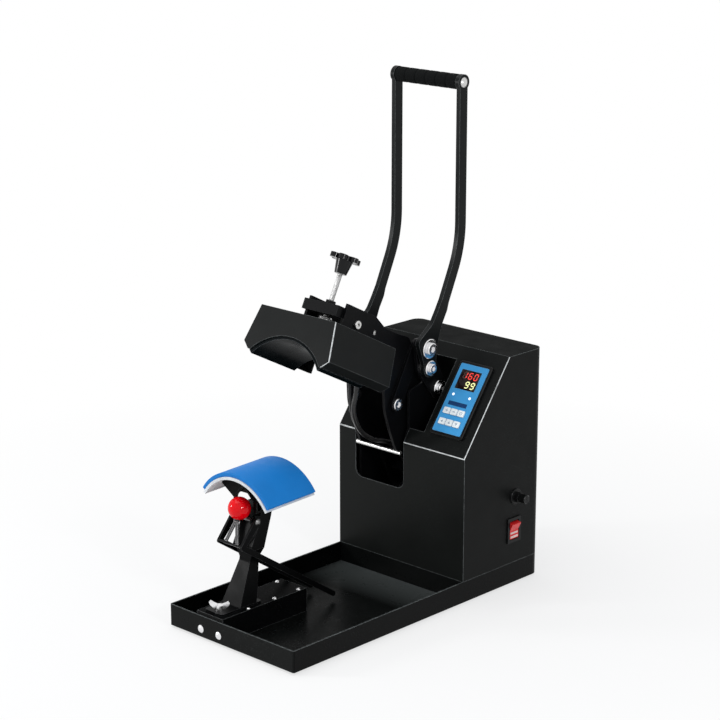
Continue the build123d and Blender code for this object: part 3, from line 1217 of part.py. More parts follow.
# ---------------------------------------------------------------- right face
def rocker_bezel():
    """The switch's frame outside the wall and its body behind it."""
    y = FRONT + ROCKER_SPOT[0]
    z = ROCKER_SPOT[1]
    half_y, half_z = (size / 2 for size in ROCKER_FRAME)
    wall = ROCKER_FRAME_WALL
    face = RIGHT_FACE
    frame = box_between((face, y - half_y, z - half_z), (face + ROCKER_FRAME_RAISE, y + half_y, z + half_z))
    body = box_between((face - ROCKER_BODY_DEPTH, y - half_y + wall, z - half_z + wall),
                       (face, y + half_y - wall, z + half_z - wall))
    well = box_between((face - ROCKER_BODY_DEPTH + 3, y - half_y + 2 * wall, z - half_z + 2 * wall),
                       (face + ROCKER_FRAME_RAISE + 1, y + half_y - 2 * wall, z + half_z - 2 * wall))
    return frame + body - well


def rocker_button():
    """A V-faced rocker about a level axis, drawn with its lower half pressed."""
    half_y = ROCKER_FRAME[0] / 2 - 2 * ROCKER_FRAME_WALL - ROCKER_CLEARANCE
    reach = ROCKER_FRAME[1] / 2 - 2 * ROCKER_FRAME_WALL - ROCKER_CLEARANCE
    proud = 8.0
    half_z = sqrt(reach ** 2 - proud ** 2)
    side = outline([(proud, half_z), (proud - 3.2, 0), (proud, -half_z), (-1, -half_z), (-6, 0), (-1, half_z)])
    button = front_face(side, -half_y, half_y)
    return Pos(ROCKER_AXIS_X, FRONT + ROCKER_SPOT[0], ROCKER_SPOT[1]) * Rot(0, ROCKER_HALF_SWING, 0) * button


def fuse_holder():
    face = RIGHT_FACE
    flange = rod(FUSE_FLANGE_RADIUS, FUSE_SPOT, face, face + FUSE_FLANGE_RAISE)
    flange = chamfer(flange.edges().group_by(Axis.X)[-1], 1)
    body = rod(FUSE_BODY_RADIUS, FUSE_SPOT, face - FUSE_BODY_DEPTH, face + FUSE_NECK_RAISE)
    return flange + body


def fuse_cap():
    """A ribbed cap that screws on the holder's neck."""
    face = RIGHT_FACE
    cap = rod(FUSE_CAP_RADIUS, FUSE_SPOT, face + FUSE_NECK_RAISE, face + FUSE_CAP_RAISE)
    cap = chamfer(cap.edges().group_by(Axis.X)[-1], 1)
    slot = box_between((face + FUSE_CAP_RAISE - 1.5, -1, -FUSE_CAP_RADIUS), (face + FUSE_CAP_RAISE + 1, 1,
                                                                            FUSE_CAP_RADIUS))
    return cap - Pos(0, FRONT + FUSE_SPOT[0], FUSE_SPOT[1]) * slot


# ---------------------------------------------------------------- all nodes
nodes = {
    "base_tray": base_tray(),
    "rubber_feet": rubber_feet(),
    "case_screws": front_bolts() + rail_screws() + housing_screws(),
    "mounting_rail": mounting_rail(),
    "wing_bolt": wing_bolt(),
    "stand_column": stand_column(),
    "column_head": column_head(),
    "hold_down_pin": hold_down_pin(),
    "platen_yoke": platen_yoke(),
    "platen_shell": platen_shell(),
    "platen_pad": platen_pad(),
    "platen_clip": platen_clip(),
    "holddown_bail": holddown_bail(),
    "holddown_lever": holddown_lever(),
    "holddown_ball": holddown_ball(),
    "housing_cover": housing_cover(),
    "rear_panel": rear_panel(),
    "power_inlet": power_inlet(),
    "frame_plates": frame_plates(),
    "frame_fittings": frame_spacers() + spring_anchors(),
    "arm_pivot_shaft": arm_pivot_shaft(),
    "handle_pivot_bolts": handle_pivot_bolts(),
    "return_springs": return_springs(),
    "terminal_block": terminal_block(),
    "solid_state_relay": solid_state_relay(),
    "inner_harness": inner_harness(),
    "arm_plates": arm_plates(),
    "arm_crossbars": arm_crossbars() + [cable_clamp()],
    "arm_rods": [arm_cross_rod()] + guide_bolts(),
    "pressure_bridge": pressure_bridge(),
    "head_cables": head_cables(),
    "toggle_links": toggle_links(),
    "link_bolts": link_bolts(),
    "crank_plates": crank_plates(),
    "handle_bars": handle_bars(),
    "grip_rod": [grip_rod()] + grip_bolts(),
    "foam_grip": foam_grip(),
    "root_bolts": root_bushings() + root_bolts(),
    "head_cover": head_cover(),
    "heating_platen": [heating_platen()] + plate_studs(),
    "heating_element": heating_element(),
    "insulation": insulation(),
    "head_carrier": head_carrier(),
    "cable_glands": cable_glands(),
    "pressure_screw": pressure_screw(),
    "star_knob": star_knob(),
    "controller_bezel": controller_bezel(),
    "control_board": control_board(),
    "controller_face": controller_face(),
    "panel_lenses": [display_window()] + status_leds(),
    "rocker_bezel": rocker_bezel(),
    "rocker_button": rocker_button(),
    "fuse_holder": fuse_holder(),
    "fuse_cap": fuse_cap(),
}
for number, (key_x, key_up) in enumerate(key_places(), start=1):
    nodes[f"key_{number}"] = panel_key(key_x, key_up)

os.makedirs("parts", exist_ok=True)
for name, shape in nodes.items():
    solids = shape if isinstance(shape, list) else [shape]
    export_step(Compound(label=name, children=[Part(solid.wrapped) for solid in solids]), f"parts/{name}.step")
print(len(nodes), "nodes")
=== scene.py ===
import bpy
import bmesh
from math import atan2, cos, pi, radians, sin
from mathutils import Matrix, Vector


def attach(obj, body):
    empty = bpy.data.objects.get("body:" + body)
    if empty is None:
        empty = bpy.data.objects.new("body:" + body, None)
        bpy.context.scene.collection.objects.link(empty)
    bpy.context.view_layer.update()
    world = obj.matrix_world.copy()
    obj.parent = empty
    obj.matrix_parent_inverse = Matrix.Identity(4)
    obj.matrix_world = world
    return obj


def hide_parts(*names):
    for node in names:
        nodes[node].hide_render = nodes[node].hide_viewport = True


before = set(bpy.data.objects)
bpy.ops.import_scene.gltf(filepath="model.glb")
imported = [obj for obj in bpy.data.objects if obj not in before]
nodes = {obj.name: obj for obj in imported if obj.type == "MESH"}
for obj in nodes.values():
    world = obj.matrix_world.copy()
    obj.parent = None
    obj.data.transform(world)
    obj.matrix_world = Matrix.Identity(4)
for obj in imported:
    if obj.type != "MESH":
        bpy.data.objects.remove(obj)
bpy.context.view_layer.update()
MM = 0.001

# Cap heat press. Metres in the row frame: the origin is on the bench under the middle of the base.
# Lengths of the part are in millimetres until they meet MM.
FRONT = -294.0
CENTRE_X = -48.0
BASE_HALF = 140.0
FOLD_BEHIND, FOLD_UP = 391.3, 251.3
SLOT_LEFT, SLOT_RIGHT = -102.5, 6.5
INCLINE_LENGTH = 185.5
HEAD_TILT = 27.1
HEAD_TOP_HALF, HEAD_WIDE_HALF, HEAD_LOW_HALF = 82.7, 95, 81.7
HEAD_HIGH, HEAD_LOW = 63, -11.4


def place(x, behind, up):
    """A point from millimetres: across, behind the base's front edge, and up."""
    return Vector((x, FRONT + behind, up)) * MM


INCLINE = atan2(149.7, 110.7)
PANEL = Matrix.Translation(place(0, FOLD_BEHIND, FOLD_UP)) @ Matrix.Rotation(INCLINE, 4, "X")
HEAD = Matrix.Translation(place(CENTRE_X, 174.4, 441.6)) @ Matrix.Rotation(radians(-HEAD_TILT), 4, "X")
GRIP = Matrix.Translation(place(CENTRE_X, 509, 837)) @ Matrix.Rotation(pi / 2, 4, "Y")
ROCKER = Matrix.Translation(place(137, 518.5, 98.5)) @ Matrix.Rotation(radians(12), 4, "Y")
HOUSING = Matrix.Translation(place(0, 0, 0))


# ---------------------------------------------------------------- materials
NOISE_RANGE = (0.3, 0.7)
EDGE_RANGE = (0.985, 0.90)
OPEN_RANGE = (0.72, 0.95)


def new_node(tree, kind, settings=None, **inputs):
    """A shader node with its inputs set or linked, by name or as in0, in1 and so on."""
    made = tree.nodes.new("ShaderNode" + kind)
    for key, value in (settings or {}).items():
        setattr(made, key, value)
    for key, value in inputs.items():
        numbered = key.startswith("in") and key[2:].isdigit()
        socket = made.inputs[int(key[2:]) if numbered else key.replace("_", " ")]
        if isinstance(value, bpy.types.NodeSocket):
            tree.links.new(value, socket)
        else:
            socket.default_value = value
    return made


class Finish:
    """A principled material that is put together from procedural masks."""

    def __init__(self, name, base, rough, metallic=0.0, specular=0.5):
        self.mat = bpy.data.materials.new(name)
        self.mat.use_nodes = True
        self.tree = self.mat.node_tree
        self.bsdf = self.tree.nodes["Principled BSDF"]
        self.bsdf.inputs["Metallic"].default_value = metallic
        self.bsdf.inputs["Specular IOR Level"].default_value = specular
        self.bsdf.inputs["Roughness"].default_value = rough
        self.base = base
        self.rough = rough
        self.colour = None
        self.height = None
        self.coords = new_node(self.tree, "TexCoord").outputs["Object"]

    def scaled(self, scale):
        return new_node(self.tree, "Mapping", in3=scale, in0=self.coords).outputs[0]

    def noise(self, scale, detail=2.0, rough=0.5, stretch=(1, 1, 1)):
        where = self.coords if stretch == (1, 1, 1) else self.scaled(stretch)
        made = new_node(self.tree, "TexNoise", Vector=where, Scale=scale, Detail=detail, Roughness=rough)
        return made.outputs["Fac"]

    def cells(self, scale, feature="F1"):
        made = new_node(self.tree, "TexVoronoi", {"feature": feature}, Vector=self.coords, Scale=scale)
        return made.outputs["Distance"]

    def remap(self, value, low, high, to_low=0.0, to_high=1.0):
        made = new_node(self.tree, "MapRange", Value=value, From_Min=low, From_Max=high, To_Min=to_low,
                        To_Max=to_high)
        return made.outputs[0]

    def maths(self, operation, a, b):
        return new_node(self.tree, "Math", {"operation": operation}, in0=a, in1=b).outputs[0]

    def edges(self, radius, samples=6):
        """1 on an outer or inner edge of about that radius, and 0 on flat ground."""
        bevel = new_node(self.tree, "Bevel", {"samples": samples}, Radius=radius).outputs[0]
        normal = new_node(self.tree, "NewGeometry").outputs["Normal"]
        dot = new_node(self.tree, "VectorMath", {"operation": "DOT_PRODUCT"}, in0=bevel, in1=normal)
        return self.remap(dot.outputs["Value"], *EDGE_RANGE)

    def open_edges(self, radius):
        """The same, for outer edges alone: a corner that looks at its own neighbour stays dark."""
        shade = new_node(self.tree, "AmbientOcclusion", {"only_local": True, "samples": 4},
                         Distance=4 * radius)
        return self.maths("MULTIPLY", self.edges(radius), self.remap(shade.outputs["AO"], *OPEN_RANGE))

    def bands(self, scale, where=None):
        """Level turns along Z, for a thread or a coil."""
        made = new_node(self.tree, "TexWave", {"bands_direction": "Z", "wave_profile": "SIN"},
                        Vector=self.coords if where is None else where, Scale=scale, Distortion=0.0)
        return made.outputs["Fac"]

    def along(self, axis, low, high, to_low=0.0, to_high=1.0):
        """A smooth change between two places in the part's frame."""
        parts = new_node(self.tree, "SeparateXYZ", Vector=self.coords)
        return self.remap(parts.outputs[axis], low, high, to_low, to_high)

    def facing(self, axis, low, high):
        """1 on the faces that look along an axis of the part."""
        normal = new_node(self.tree, "NewGeometry").outputs["Normal"]
        parts = new_node(self.tree, "SeparateXYZ", Vector=normal)
        return self.remap(parts.outputs[axis], low, high)

    def tint(self, mask, colour):
        """The colour so far, turned to another one where the mask is 1."""
        below = self.colour if self.colour is not None else (*self.base, 1.0)
        mix = new_node(self.tree, "Mix", {"data_type": "RGBA"}, in0=mask, in6=below, in7=(*colour, 1.0))
        self.colour = mix.outputs[2]
        return self

    def vary(self, scale, amount, detail=3.0, stretch=(1, 1, 1)):
        """Uneven lightness of the base colour."""
        mask = self.remap(self.noise(scale, detail, stretch=stretch), *NOISE_RANGE)
        lighter = tuple(min(1.0, c * (1 + amount)) for c in self.base)
        darker = tuple(c * (1 - amount) for c in self.base)
        if self.colour is None:
            mix = new_node(self.tree, "Mix", {"data_type": "RGBA"}, in0=mask, in6=(*darker, 1.0),
                           in7=(*lighter, 1.0))
            self.colour = mix.outputs[2]
        else:
            self.tint(mask, lighter)
        return self

    def roughen(self, scale, spread, stretch=(1, 1, 1)):
        """Uneven roughness, by the spread on both sides."""
        mask = self.noise(scale, 3.0, stretch=stretch)
        value = self.remap(mask, *NOISE_RANGE, max(0.02, self.rough - spread), min(1.0, self.rough + spread))
        self.tree.links.new(value, self.bsdf.inputs["Roughness"])
        return self

    def bump(self, value, depth, strength=1.0):
        made = new_node(self.tree, "Bump", Strength=strength, Distance=depth, Height=value)
        if self.height is not None:
            self.tree.links.new(self.height, made.inputs["Normal"])
        self.height = made.outputs[0]
        return self

    def set(self, **values):
        for key, value in values.items():
            self.bsdf.inputs[key.replace("_", " ")].default_value = value
        return self

    def done(self):
        if self.colour is not None:
            self.tree.links.new(self.colour, self.bsdf.inputs["Base Color"])
        else:
            self.bsdf.inputs["Base Color"].default_value = (*self.base, 1.0)
        if self.height is not None:
            self.tree.links.new(self.height, self.bsdf.inputs["Normal"])
        return self.mat


def paint(name, base, rough, specular, grain, grain_depth, edge, edge_colour, top_sheen=1.0, back_floor_light=None,
          right_shade=None, front_shade=None, edge_until=None):
    """Black coating: fine orange peel, uneven sheen, and lighter lines over the folds as a painted
    highlight.

    back_floor_light is (from, to, colour): painted light on level ground towards the back. right_shade
    darkens faces that look along +X and front_shade lightens faces that look along -Y, both painted shade
    and light. edge_until is where the painted light edges stop, in metres along Y.
    """
    made = Finish(name, base, rough, specular=specular)
    made.vary(9.0, 0.22).roughen(35.0, 0.05)
    # painted light: the level floor lighter towards the back
    if back_floor_light:
        floor_only = made.facing("Z", 0.8, 0.95)
        made.tint(made.maths("MULTIPLY", made.along("Y", *back_floor_light[:2]), floor_only), back_floor_light[2])
    # painted light: faces that look to the front lighter
    if front_shade:
        made.tint(made.facing("Y", -0.85, -0.97), front_shade)
    # painted shade: faces that look to the right darker
    if right_shade:
        made.tint(made.facing("X", 0.8, 0.95), right_shade)
    if top_sheen < 1.0:
        level = made.remap(made.facing("Z", 0.9, 1.0), 0.0, 1.0, specular, specular * top_sheen)
        made.tree.links.new(level, made.bsdf.inputs["Specular IOR Level"])
    # painted highlight: lighter lines along the outer edges, broken up by noise
    broken_highlight = made.remap(made.noise(160.0, 3.0), 0.30, 0.62, 0.45, 1.0)
    if edge_until:
        fading = made.along("Y", edge_until, edge_until + 0.01, 1.0, 0.08)
        broken_highlight = made.maths("MULTIPLY", broken_highlight, fading)
    made.tint(made.maths("MULTIPLY", made.open_edges(edge), broken_highlight), edge_colour)
    specks = made.remap(made.noise(900.0, 1.0), 0.68, 0.74)
    patches = made.remap(made.noise(3.0), 0.45, 0.7, 0.0, 0.35)
    made.tint(made.maths("MULTIPLY", specks, patches), edge_colour)
    made.bump(made.noise(grain, 2.0), grain_depth)
    made.bump(made.noise(14.0, 1.0), 0.00012)
    return made.done()


def metal(name, base, rough, brush, spread=0.08, depth=0.00001):
    """Bare or plated steel with fine brushed lines, stains, and lighter edges as a painted highlight."""
    made = Finish(name, base, rough, metallic=1.0)
    made.vary(60.0, 0.12).roughen(220.0, spread, brush)
    made.tint(made.remap(made.noise(28.0, 4.0), 0.58, 0.75, 0.0, 0.5), tuple(c * 0.55 for c in base))
    # painted highlight: the edges lighter
    made.tint(made.edges(0.0004), tuple(min(1.0, c * 1.25) for c in base))
    made.bump(made.noise(600.0, 2.0, stretch=brush), depth)
    return made.done()


def plastic(name, base, rough, grain, depth, coat=0.0, specular=0.5, highlight_gain=2.2):
    """Moulded or painted surface with a fine grain and lighter, broken edges as a painted highlight."""
    made = Finish(name, base, rough, specular=specular)
    made.vary(40.0, 0.12).roughen(90.0, 0.06)
    broken_highlight = made.remap(made.noise(300.0), *NOISE_RANGE, 0.3, 0.9)
    # painted highlight: the edges lighter
    made.tint(made.maths("MULTIPLY", made.edges(0.0005), broken_highlight),
              tuple(min(1.0, c * highlight_gain + 0.01) for c in base))
    made.bump(made.noise(grain, 2.0), depth)
    made.set(Coat_Weight=coat, Coat_Roughness=0.03)
    return made.done()


def threaded(name, base, rough, pitch, tilt):
    """Steel with a rolled thread along an axis that leans back by the tilt."""
    made = Finish(name, base, rough, metallic=1.0)
    where = new_node(made.tree, "Mapping", in2=(tilt, 0.0, 0.0), in0=made.coords).outputs[0]
    turns = made.bands(pi / (10 * pitch), where)
    made.vary(60.0, 0.10).roughen(200.0, 0.05)
    # painted shade: darker in the thread's grooves
    made.tint(made.remap(turns, 0.35, 0.0, 0.0, 0.8), tuple(c * 0.30 for c in base))
    made.bump(turns, 0.0006, 0.6)
    return made.done()


# painted light and shade: the case's right faces darker and its front faces lighter
case_paint = paint("case_powder_coat", (0.0062, 0.0070, 0.0068), 0.42, 0.07, 2600.0, 0.00004, 0.0013,
                   (0.22, 0.24, 0.24), top_sheen=0.06, right_shade=(0.0045, 0.0050, 0.0048),
                   front_shade=(0.0088, 0.0098, 0.0092))
# painted light and shade: the tray's right faces darker and its level floor lighter towards the back
tray_paint = paint("tray_powder_coat", (0.0044, 0.0050, 0.0048), 0.30, 0.07, 2600.0, 0.00003, 0.0013,
                   (0.22, 0.24, 0.24), top_sheen=0.20, back_floor_light=(0.0, 0.095, (0.060, 0.067, 0.066)),
                   right_shade=(0.0012, 0.0014, 0.0014), edge_until=0.08)
head_paint = paint("head_powder_coat", (0.0075, 0.0084, 0.0084), 0.42, 0.07, 2600.0, 0.00004, 0.0013,
                   (0.14, 0.15, 0.15))
frame_paint = paint("frame_satin_paint", (0.0034, 0.0036, 0.0042), 0.36, 0.07, 1800.0, 0.00003, 0.0006,
                    (0.06, 0.06, 0.064))
column_paint = paint("column_satin_paint", (0.0024, 0.0026, 0.0028), 0.36, 0.05, 1800.0, 0.00003, 0.0007,
                     (0.07, 0.072, 0.075))
handle_paint = paint("handle_satin_paint", (0.0058, 0.0070, 0.0072), 0.34, 0.09, 1500.0, 0.00003, 0.0010,
                     (0.16, 0.17, 0.17))
zinc = metal("zinc_plate", (0.66, 0.66, 0.65), 0.30, (1, 1, 6))
zinc_dull = metal("zinc_dull", (0.22, 0.22, 0.22), 0.40, (1, 1, 1))
polished = metal("polished_bolts", (0.78, 0.78, 0.79), 0.22, (1, 1, 1), 0.06)
rail_steel = paint("rail_gloss_coat", (0.0024, 0.0026, 0.0028), 0.30, 0.06, 1500.0, 0.00003, 0.0008,
                   (0.20, 0.21, 0.21), top_sheen=0.08)
# the lever's light lines are painted highlights along the edges of a dark strip
spring_steel = paint("spring_steel_strip", (0.030, 0.030, 0.031), 0.32, 0.3, 900.0, 0.00003,
                     0.0011, (0.85, 0.85, 0.85))
screw_steel = threaded("screw_thread", (0.62, 0.62, 0.62), 0.34, 0.002, radians(HEAD_TILT))
rubber = plastic("black_rubber", (0.006, 0.006, 0.006), 0.7, 500.0, 0.0001, specular=0.15, highlight_gain=2.0)
black_plastic = plastic("black_plastic", (0.0050, 0.0052, 0.0055), 0.34, 1500.0, 0.00003, specular=0.16,
                        highlight_gain=9.0)
knob_plastic = plastic("knob_phenolic", (0.0035, 0.0035, 0.004), 0.18, 1200.0, 0.00002, specular=0.22,
                       highlight_gain=8.0)
shell_white = plastic("shell_white_coat", (0.74, 0.76, 0.78), 0.42, 1200.0, 0.00003, specular=0.3,
                      highlight_gain=1.2)
ball_red = plastic("ball_gloss_red", (0.86, 0.0022, 0.0075), 0.045, 120.0, 0.000001, coat=0.20,
                   specular=0.08, highlight_gain=1.0)
switch_red = plastic("switch_red", (0.74, 0.020, 0.022), 0.14, 600.0, 0.00002, specular=0.25, highlight_gain=1.3)
key_white = plastic("key_white", (0.84, 0.90, 0.95), 0.40, 900.0, 0.00002, highlight_gain=1.25)
lens_dark = plastic("display_lens", (0.012, 0.005, 0.005), 0.07, 200.0, 0.00001, specular=0.2)
fuse_plastic = plastic("fuse_cap_plastic", (0.0048, 0.005, 0.005), 0.30, 900.0, 0.00003, specular=0.2,
                       highlight_gain=40.0)
cable_black = plastic("cable_jacket", (0.016, 0.016, 0.016), 0.30, 1200.0, 0.00005, specular=0.35)


def silicone_pad():
    made = Finish("blue_silicone", (0.009, 0.185, 0.56), 0.50, specular=0.12)
    made.vary(14.0, 0.06)
    made.tint(made.remap(made.noise(2200.0, 1.0), 0.52, 0.64, 0.0, 0.30), (0.016, 0.23, 0.62))
    # painted shade: the pad's edges darker
    made.tint(made.edges(0.0016), (0.006, 0.115, 0.38))
    made.roughen(60.0, 0.06)
    warp, weft = (made.noise(1500.0, 1.0, stretch=way) for way in ((1, 0.25, 1), (0.25, 1, 1)))
    made.bump(made.maths("ADD", warp, weft), 0.00008)
    return made.done()


def plate_coat():
    made = Finish("plate_nonstick", (0.0018, 0.0034, 0.0040), 0.26, specular=0.028)
    made.vary(22.0, 0.25).roughen(45.0, 0.08)
    made.tint(made.remap(made.noise(14.0, 5.0), 0.60, 0.76, 0.0, 0.5), (0.005, 0.007, 0.008))
    # painted highlight: the rim edges lighter
    made.tint(made.edges(0.0008), (0.10, 0.11, 0.12))
    made.bump(made.noise(1400.0, 2.0), 0.00003)
    return made.done()


def foam():
    made = Finish("grip_foam", (0.0028, 0.0032, 0.0034), 0.88, specular=0.05)
    made.vary(90.0, 0.30)
    made.tint(made.remap(made.cells(1900.0), 0.10, 0.42), (0.0065, 0.0072, 0.0072))
    made.bump(made.cells(1900.0), 0.00030)
    made.bump(made.noise(420.0, 3.0), 0.00025)
    return made.done()


def panel_film():
    made = Finish("panel_blue_film", (0.060, 0.330, 0.68), 0.34, specular=0.08)
    made.vary(26.0, 0.08).roughen(60.0, 0.05)
    # painted highlight: the film's edges lighter
    made.tint(made.edges(0.0006), (0.20, 0.50, 0.80))
    made.bump(made.noise(1800.0, 1.0), 0.00002)
    return made.done()


def mat_fibre(name, base, scale, depth):
    made = Finish(name, base, 0.9)
    made.vary(scale / 6, 0.25)
    made.bump(made.noise(scale, 5.0, stretch=(1, 0.15, 1)), depth)
    made.bump(made.noise(scale, 5.0, stretch=(0.2, 1, 1)), depth)
    return made.done()


def spring_wire():
    made = Finish("spring_wire", (0.45, 0.45, 0.46), 0.3, metallic=1.0)
    turns = made.bands(62.0)
    made.vary(80.0, 0.1)
    # painted shade: darker between the coil's turns
    made.tint(made.remap(turns, 0.35, 0.0), (0.03, 0.03, 0.03))
    made.bump(turns, 0.0016)
    return made.done()


def circuit():
    made = Finish("board_green", (0.02, 0.13, 0.05), 0.4)
    made.tint(made.remap(made.cells(260.0), 0.1, 0.14, 1.0, 0.0), (0.5, 0.42, 0.2))
    made.vary(200.0, 0.2)
    made.bump(made.cells(200.0), 0.0001)
    return made.done()


def lit(name, colour, strength):
    """A lamp's or digit's face: tinted plastic that also glows."""
    made = Finish(name, colour, 0.35)
    made.vary(1500.0, 0.1)
    made.bump(made.noise(2500.0), 0.00001)
    made.set(Emission_Color=(*colour, 1.0), Emission_Strength=strength)
    return made.done()


pad_blue = silicone_pad()
coat_dark = plate_coat()
foam_black = foam()
film_blue = panel_film()
finishes = {
    case_paint: "housing_cover rear_panel",
    tray_paint: "base_tray",
    head_paint: "head_cover",
    frame_paint: "frame_plates arm_plates arm_crossbars pressure_bridge toggle_links crank_plates "
                 "head_carrier",
    column_paint: "stand_column column_head platen_yoke holddown_bail platen_clip",
    handle_paint: "handle_bars",
    zinc: "frame_fittings arm_pivot_shaft grip_rod arm_rods",
    screw_steel: "pressure_screw",
    zinc_dull: "hold_down_pin",
    spring_steel: "holddown_lever",
    polished: "case_screws wing_bolt handle_pivot_bolts link_bolts root_bolts",
    rail_steel: "mounting_rail",
    rubber: "rubber_feet",
    black_plastic: "power_inlet terminal_block solid_state_relay cable_glands controller_bezel rocker_bezel "
                   "fuse_holder",
    fuse_plastic: "fuse_cap",
    knob_plastic: "star_knob",
    cable_black: "head_cables inner_harness",
    shell_white: "platen_shell",
    pad_blue: "platen_pad",
    ball_red: "holddown_ball",
    switch_red: "rocker_button",
    key_white: "key_1 key_2 key_3 key_4 key_5 key_6",
    lens_dark: "panel_lenses",
    film_blue: "controller_face",
    coat_dark: "heating_platen",
    foam_black: "foam_grip",
    spring_wire(): "return_springs",
    circuit(): "control_board",
    mat_fibre("heater_mat", (0.30, 0.06, 0.03), 500.0, 0.0002): "heating_element",
    mat_fibre("insulation_blanket", (0.60, 0.57, 0.50), 700.0, 0.0008): "insulation",
}
for material, names in finishes.items():
    for name in names.split():
        slots = nodes[name].data.materials
        for index in range(len(slots)):
            slots[index] = material
unfinished = set(nodes) - set(" ".join(finishes.values()).split())
assert not unfinished, unfinished


# ---------------------------------------------------------------- pieces
def in_scene(name, data):
    """A new object with that data, linked to the scene."""
    made = bpy.data.objects.new(name, data)
    bpy.context.scene.collection.objects.link(made)
    return made


def piece(name, matrix, points, faces, material, body, smooth=False):
    """A mesh from millimetres in a local frame, which rides on a body."""
    mesh = bpy.data.meshes.new(name)
    mesh.from_pydata([matrix @ (Vector(point) * MM) for point in points], [], faces)
    mesh.materials.append(material)
    for polygon in mesh.polygons:
        polygon.use_smooth = smooth
    made = in_scene(name, mesh)
    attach(made, body)
    return made


def prism(outline, low, high):
    """The points and faces of an outline raised from low to high."""
    count = len(outline)
    points = [(*spot, level) for level in (low, high) for spot in outline]
    sides = [(i, (i + 1) % count, (i + 1) % count + count, i + count) for i in range(count)]
    return points, [tuple(range(count))[::-1], tuple(range(count, 2 * count))] + sides


def prisms(shapes):
    """Several prisms, given as (outline, low, high), joined into one mesh."""
    points, faces = [], []
    for outline, low, high in shapes:
        more_points, more_faces = prism(outline, low, high)
        faces += [tuple(index + len(points) for index in face) for face in more_faces]
        points += more_points
    return points, faces


def lathe(profile, count):
    """Points and faces of a profile of (radius, height) turned about the local Z axis."""
    turns = [2 * pi * k / count for k in range(count)]
    points = [(r * cos(turn), r * sin(turn), h) for r, h in profile for turn in turns]
    faces = [(low + k, low + (k + 1) % count, low + count + (k + 1) % count, low + count + k)
             for low in range(0, (len(profile) - 1) * count, count) for k in range(count)]
    faces += [tuple(range(count))[::-1], tuple(range((len(profile) - 1) * count, len(profile) * count))]
    return points, faces


def box_outline(x_low, y_low, x_high, y_high):
    return [(x_low, y_low), (x_high, y_low), (x_high, y_high), (x_low, y_high)]


GRIP_HALF = 66.6
GRIP_SEGMENTS = 6
GRIP_STEPS = 18
GRIP_CORE = 8.2
GRIP_GROOVE = 10.9
GRIP_RISE = 1.6


def grip_profile():
    """The grip's foam from the side: six segments with rounded shoulders."""
    pitch = 2 * GRIP_HALF / GRIP_SEGMENTS
    profile = [(GRIP_CORE, -GRIP_HALF)]
    for index in range(GRIP_SEGMENTS):
        for step in range(GRIP_STEPS + 1):
            u = 2 * step / GRIP_STEPS - 1
            radius = GRIP_GROOVE + GRIP_RISE * (1 - abs(u) ** 7) ** 0.5
            profile.append((radius, -GRIP_HALF + pitch * (index + (u + 1) / 2)))
    return profile + [(GRIP_CORE, GRIP_HALF)]


points, faces = lathe(grip_profile(), 72)
grip = piece("foam_grip_sleeve", GRIP, points, faces, foam_black, "handle", smooth=True)
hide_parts("foam_grip")


def softened(node, width, steps):
    """A copy of a CAD node's mesh with its sharp edges rounded."""
    shape = bmesh.new()
    shape.from_mesh(nodes[node].data)
    bmesh.ops.remove_doubles(shape, verts=shape.verts, dist=1e-6)
    bmesh.ops.dissolve_limit(shape, angle_limit=radians(0.5), verts=shape.verts, edges=shape.edges)
    sharp = [edge for edge in shape.edges
             if len(edge.link_faces) == 2 and edge.calc_face_angle() > radians(35)]
    bmesh.ops.bevel(shape, geom=sharp, offset=width, segments=steps, profile=0.5, affect="EDGES",
                    clamp_overlap=True)
    points = [tuple(vert.co / MM) for vert in shape.verts]
    shape.verts.index_update()
    faces = [tuple(vert.index for vert in face.verts) for face in shape.faces]
    shape.free()
    return points, faces


points, faces = softened("platen_pad", 0.0012, 3)
pad = piece("platen_pad_sheet", Matrix(), points, faces, pad_blue, "base", smooth=True)
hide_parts("platen_pad")


# painted highlights along the folds of the sheet, where the coating catches the light
def fold_highlight(name, colour):
    """The light line of a fold as a painted highlight, uneven along its run."""
    made = Finish(name, colour, 0.40, specular=0.4)
    made.vary(120.0, 0.25)
    made.tint(made.remap(made.noise(38.0, 4.0), 0.56, 0.72, 0.0, 0.8), tuple(c * 0.5 for c in colour))
    made.bump(made.noise(900.0, 2.0), 0.00002)
    return made.done()


FOLD_LIFT = 0.06
fold_bright = fold_highlight("fold_bright", (0.66, 0.68, 0.68))


def fold(name, matrix, start, end, faces_away, width, body):
    """Thin painted highlight strips along an edge, one on each face that runs away from it."""
    start, end = Vector(start), Vector(end)
    ways = [Vector(way).normalized() for way in faces_away]
    points, faces = [], []
    for way, other in zip(ways, ways[::-1]):
        lift = -(other - other.project(way)) if len(ways) == 2 else Vector((0, 0, 1))
        lift = lift.normalized() * FOLD_LIFT
        count = len(points)
        points += [start + lift, end + lift, end + way * width + lift, start + way * width + lift]
        faces.append(tuple(range(count, count + 4)))
    return piece(name, matrix, [tuple(point) for point in points], faces, fold_bright, body)


